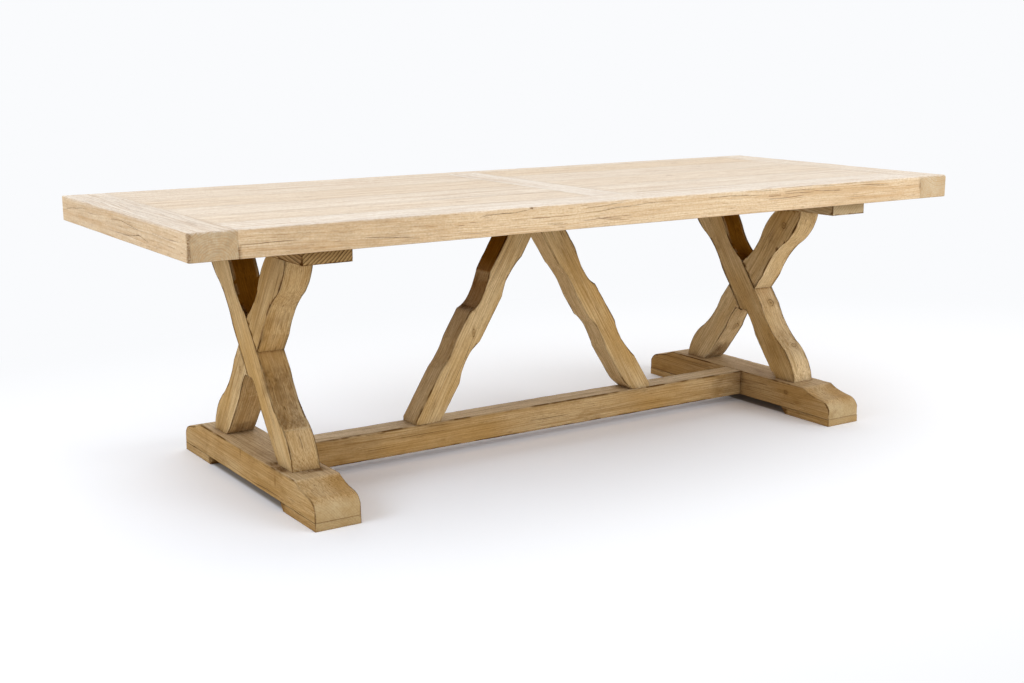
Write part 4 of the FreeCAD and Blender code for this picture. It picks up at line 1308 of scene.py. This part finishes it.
def make_cleats():
    for node, tone in CLEAT_TONES.items():
        rules = [on_faces(axis, *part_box(node)) for axis in (0, 1)]

        def outer(edge):
            return any(rule(edge) for rule in rules)

        arrises = ((CLEAT_ARRIS, outer),)
        make_solid(node, "cleat", "cleat_wood", arrises, CLEAT_GRAIN, CLEAT_PITH, tone, below_top)


def make_screws():
    steel = steel_material()
    for name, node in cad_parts.items():
        if "screws" in name:
            node.data.materials.clear()
            node.data.materials.append(steel)


# Floor, light and camera

BACKDROP = srgb(250, 251, 253)
FLOOR_SEEN = srgb(246, 246, 247)
FLOOR_BOUNCE = srgb(243, 234, 215)
FLOOR_SIZE = 60.0
FLOOR_LIFT = srgb(80, 80, 80)
# Colour of the painted shadow on the floor under the feet, and the rim over which it fades in
FLOOR_PAINTED_SHADOW = srgb(150, 138, 122)
PAINTED_SHADOW_RIM = 14 * MM
FLOOR_FADE = (0.6, 2.1)
FLOOR_SHAPE = (0.6, 1.0, 0.0)
HORIZON_LIGHT = 0.3
ZENITH_LIGHT = 1.08
HORIZON, ZENITH = -0.03, 0.3
BACK_LIGHT = 0.9
BACK_WAY = (0.55, 0.83, 0.1)
BACK_SPAN = (0.35, 0.95)
AIM = Vector((0, 0, 0.4))
# Name, place, width, height, power and colour of the soft lamps
LAMPS = (
    ("front_lamp", Vector((2.4, -4.5, 2.1)), 3.5, 2.0, 100, (0.91, 0.97, 1.05)),
    ("left_lamp", Vector((-4.4, -0.6, 2.3)), 2.0, 1.6, 52, (0.85, 0.97, 1.15)),
)


def painted_shadow_under_feet(g, place):
    """Where the floor lies under a foot, and takes a painted shadow."""
    low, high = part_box("foot_right")
    spot = g.vector("ABSOLUTE", place)
    parts = g.node("SeparateXYZ", [(0, spot)]).outputs
    left = g.span(parts[0], low.x, low.x + PAINTED_SHADOW_RIM)
    right = g.span(parts[0], high.x, high.x - PAINTED_SHADOW_RIM)
    return g.times(left, right, g.span(parts[1], high.y, high.y - PAINTED_SHADOW_RIM))


def make_floor():
    """A pale floor that fades into the backdrop, with a painted shadow under the feet. It throws back less
    light than it shows.
    """
    bm = bmesh.new()
    bmesh.ops.create_grid(bm, x_segments=1, y_segments=1, size=FLOOR_SIZE / 2)
    material, g = new_material("floor")
    place = g.node("NewGeometry").outputs["Position"]
    reach = g.vector("LENGTH", g.stretched(place, FLOOR_SHAPE), output="Value")
    far = g.span(reach, *FLOOR_FADE)
    # Painted shadow: the floor is given a darker colour under the feet
    shade = g.mix(painted_shadow_under_feet(g, place), FLOOR_SEEN, FLOOR_PAINTED_SHADOW)
    seen = g.node("BsdfDiffuse", [("Color", shade)]).outputs[0]
    lift = g.node("BsdfDiffuse", [("Color", FLOOR_LIFT)]).outputs[0]
    seen = g.node("AddShader", [(0, seen), (1, lift)]).outputs[0]
    haze = g.node("Emission", [("Color", BACKDROP)]).outputs[0]
    bounce = g.node("BsdfDiffuse", [("Color", FLOOR_BOUNCE)]).outputs[0]
    looked_at = g.node("LightPath").outputs["Is Camera Ray"]
    g.output(g.blend(looked_at, bounce, g.blend(far, seen, haze)), "OutputMaterial")
    floor = new_piece("floor", bm, material)


def make_world():
    """An even dome, darker near the floor, with a pale wall behind. The camera sees a plain backdrop."""
    world = bpy.data.worlds.new("studio")
    bpy.context.scene.world = world
    world.use_nodes = True
    g = Graph(world.node_tree)
    way = g.node("TexCoord").outputs["Generated"]
    height = g.node("SeparateXYZ", [(0, way)]).outputs[2]
    dome = g.span(height, HORIZON, ZENITH, HORIZON_LIGHT, ZENITH_LIGHT)
    wall = g.span(g.vector("DOT_PRODUCT", way, BACK_WAY, output="Value"), *BACK_SPAN, 0.0, BACK_LIGHT)
    lit = g.node("Background", [("Strength", g.math("ADD", dome, wall))]).outputs[0]
    seen = g.node("Background", [("Color", BACKDROP)]).outputs[0]
    path = g.node("LightPath").outputs
    looked_at = g.math("MAXIMUM", path["Is Camera Ray"], path["Is Glossy Ray"])
    looked_at = g.math("MAXIMUM", looked_at, path["Is Transmission Ray"])
    g.output(g.blend(looked_at, lit, seen), "OutputWorld")


def make_lamps():
    """Soft lamps in front and at the left, aimed at the table."""
    for name, place, width, height, power, colour in LAMPS:
        lamp = bpy.data.lights.new(name, "AREA")
        lamp.shape = "RECTANGLE"
        lamp.size = width
        lamp.size_y = height
        lamp.energy = power
        lamp.color = colour
        softbox = add_object(name, lamp)
        softbox.location = place
        softbox.rotation_euler = (AIM - place).to_track_quat("-Z", "Y").to_euler()
        softbox.visible_camera = False
        softbox.visible_glossy = False


def set_camera():
    """The camera that the photograph was taken with."""
    turn = Matrix.Rotation(-CAMERA_YAW, 4, "Z") @ Matrix.Rotation(math.pi / 2 - CAMERA_PITCH, 4, "X")
    turn = turn @ Matrix.Rotation(-CAMERA_ROLL, 4, "Z")
    data = bpy.data.cameras.new("camera")
    data.sensor_fit = "HORIZONTAL"
    data.sensor_width = SENSOR_WIDTH
    data.lens = FOCAL_PIXELS * SENSOR_WIDTH / PHOTO_WIDTH
    camera = add_object("camera", data)
    camera.matrix_world = Matrix.Translation(CAMERA_PLACE) @ turn
    bpy.context.scene.camera = camera
    bpy.context.scene.view_settings.view_transform = "Standard"


make_top()
make_legs()
make_braces()
make_feet()
make_stretcher()
make_cleats()
make_screws()
make_floor()
make_world()
make_lamps()
set_camera()
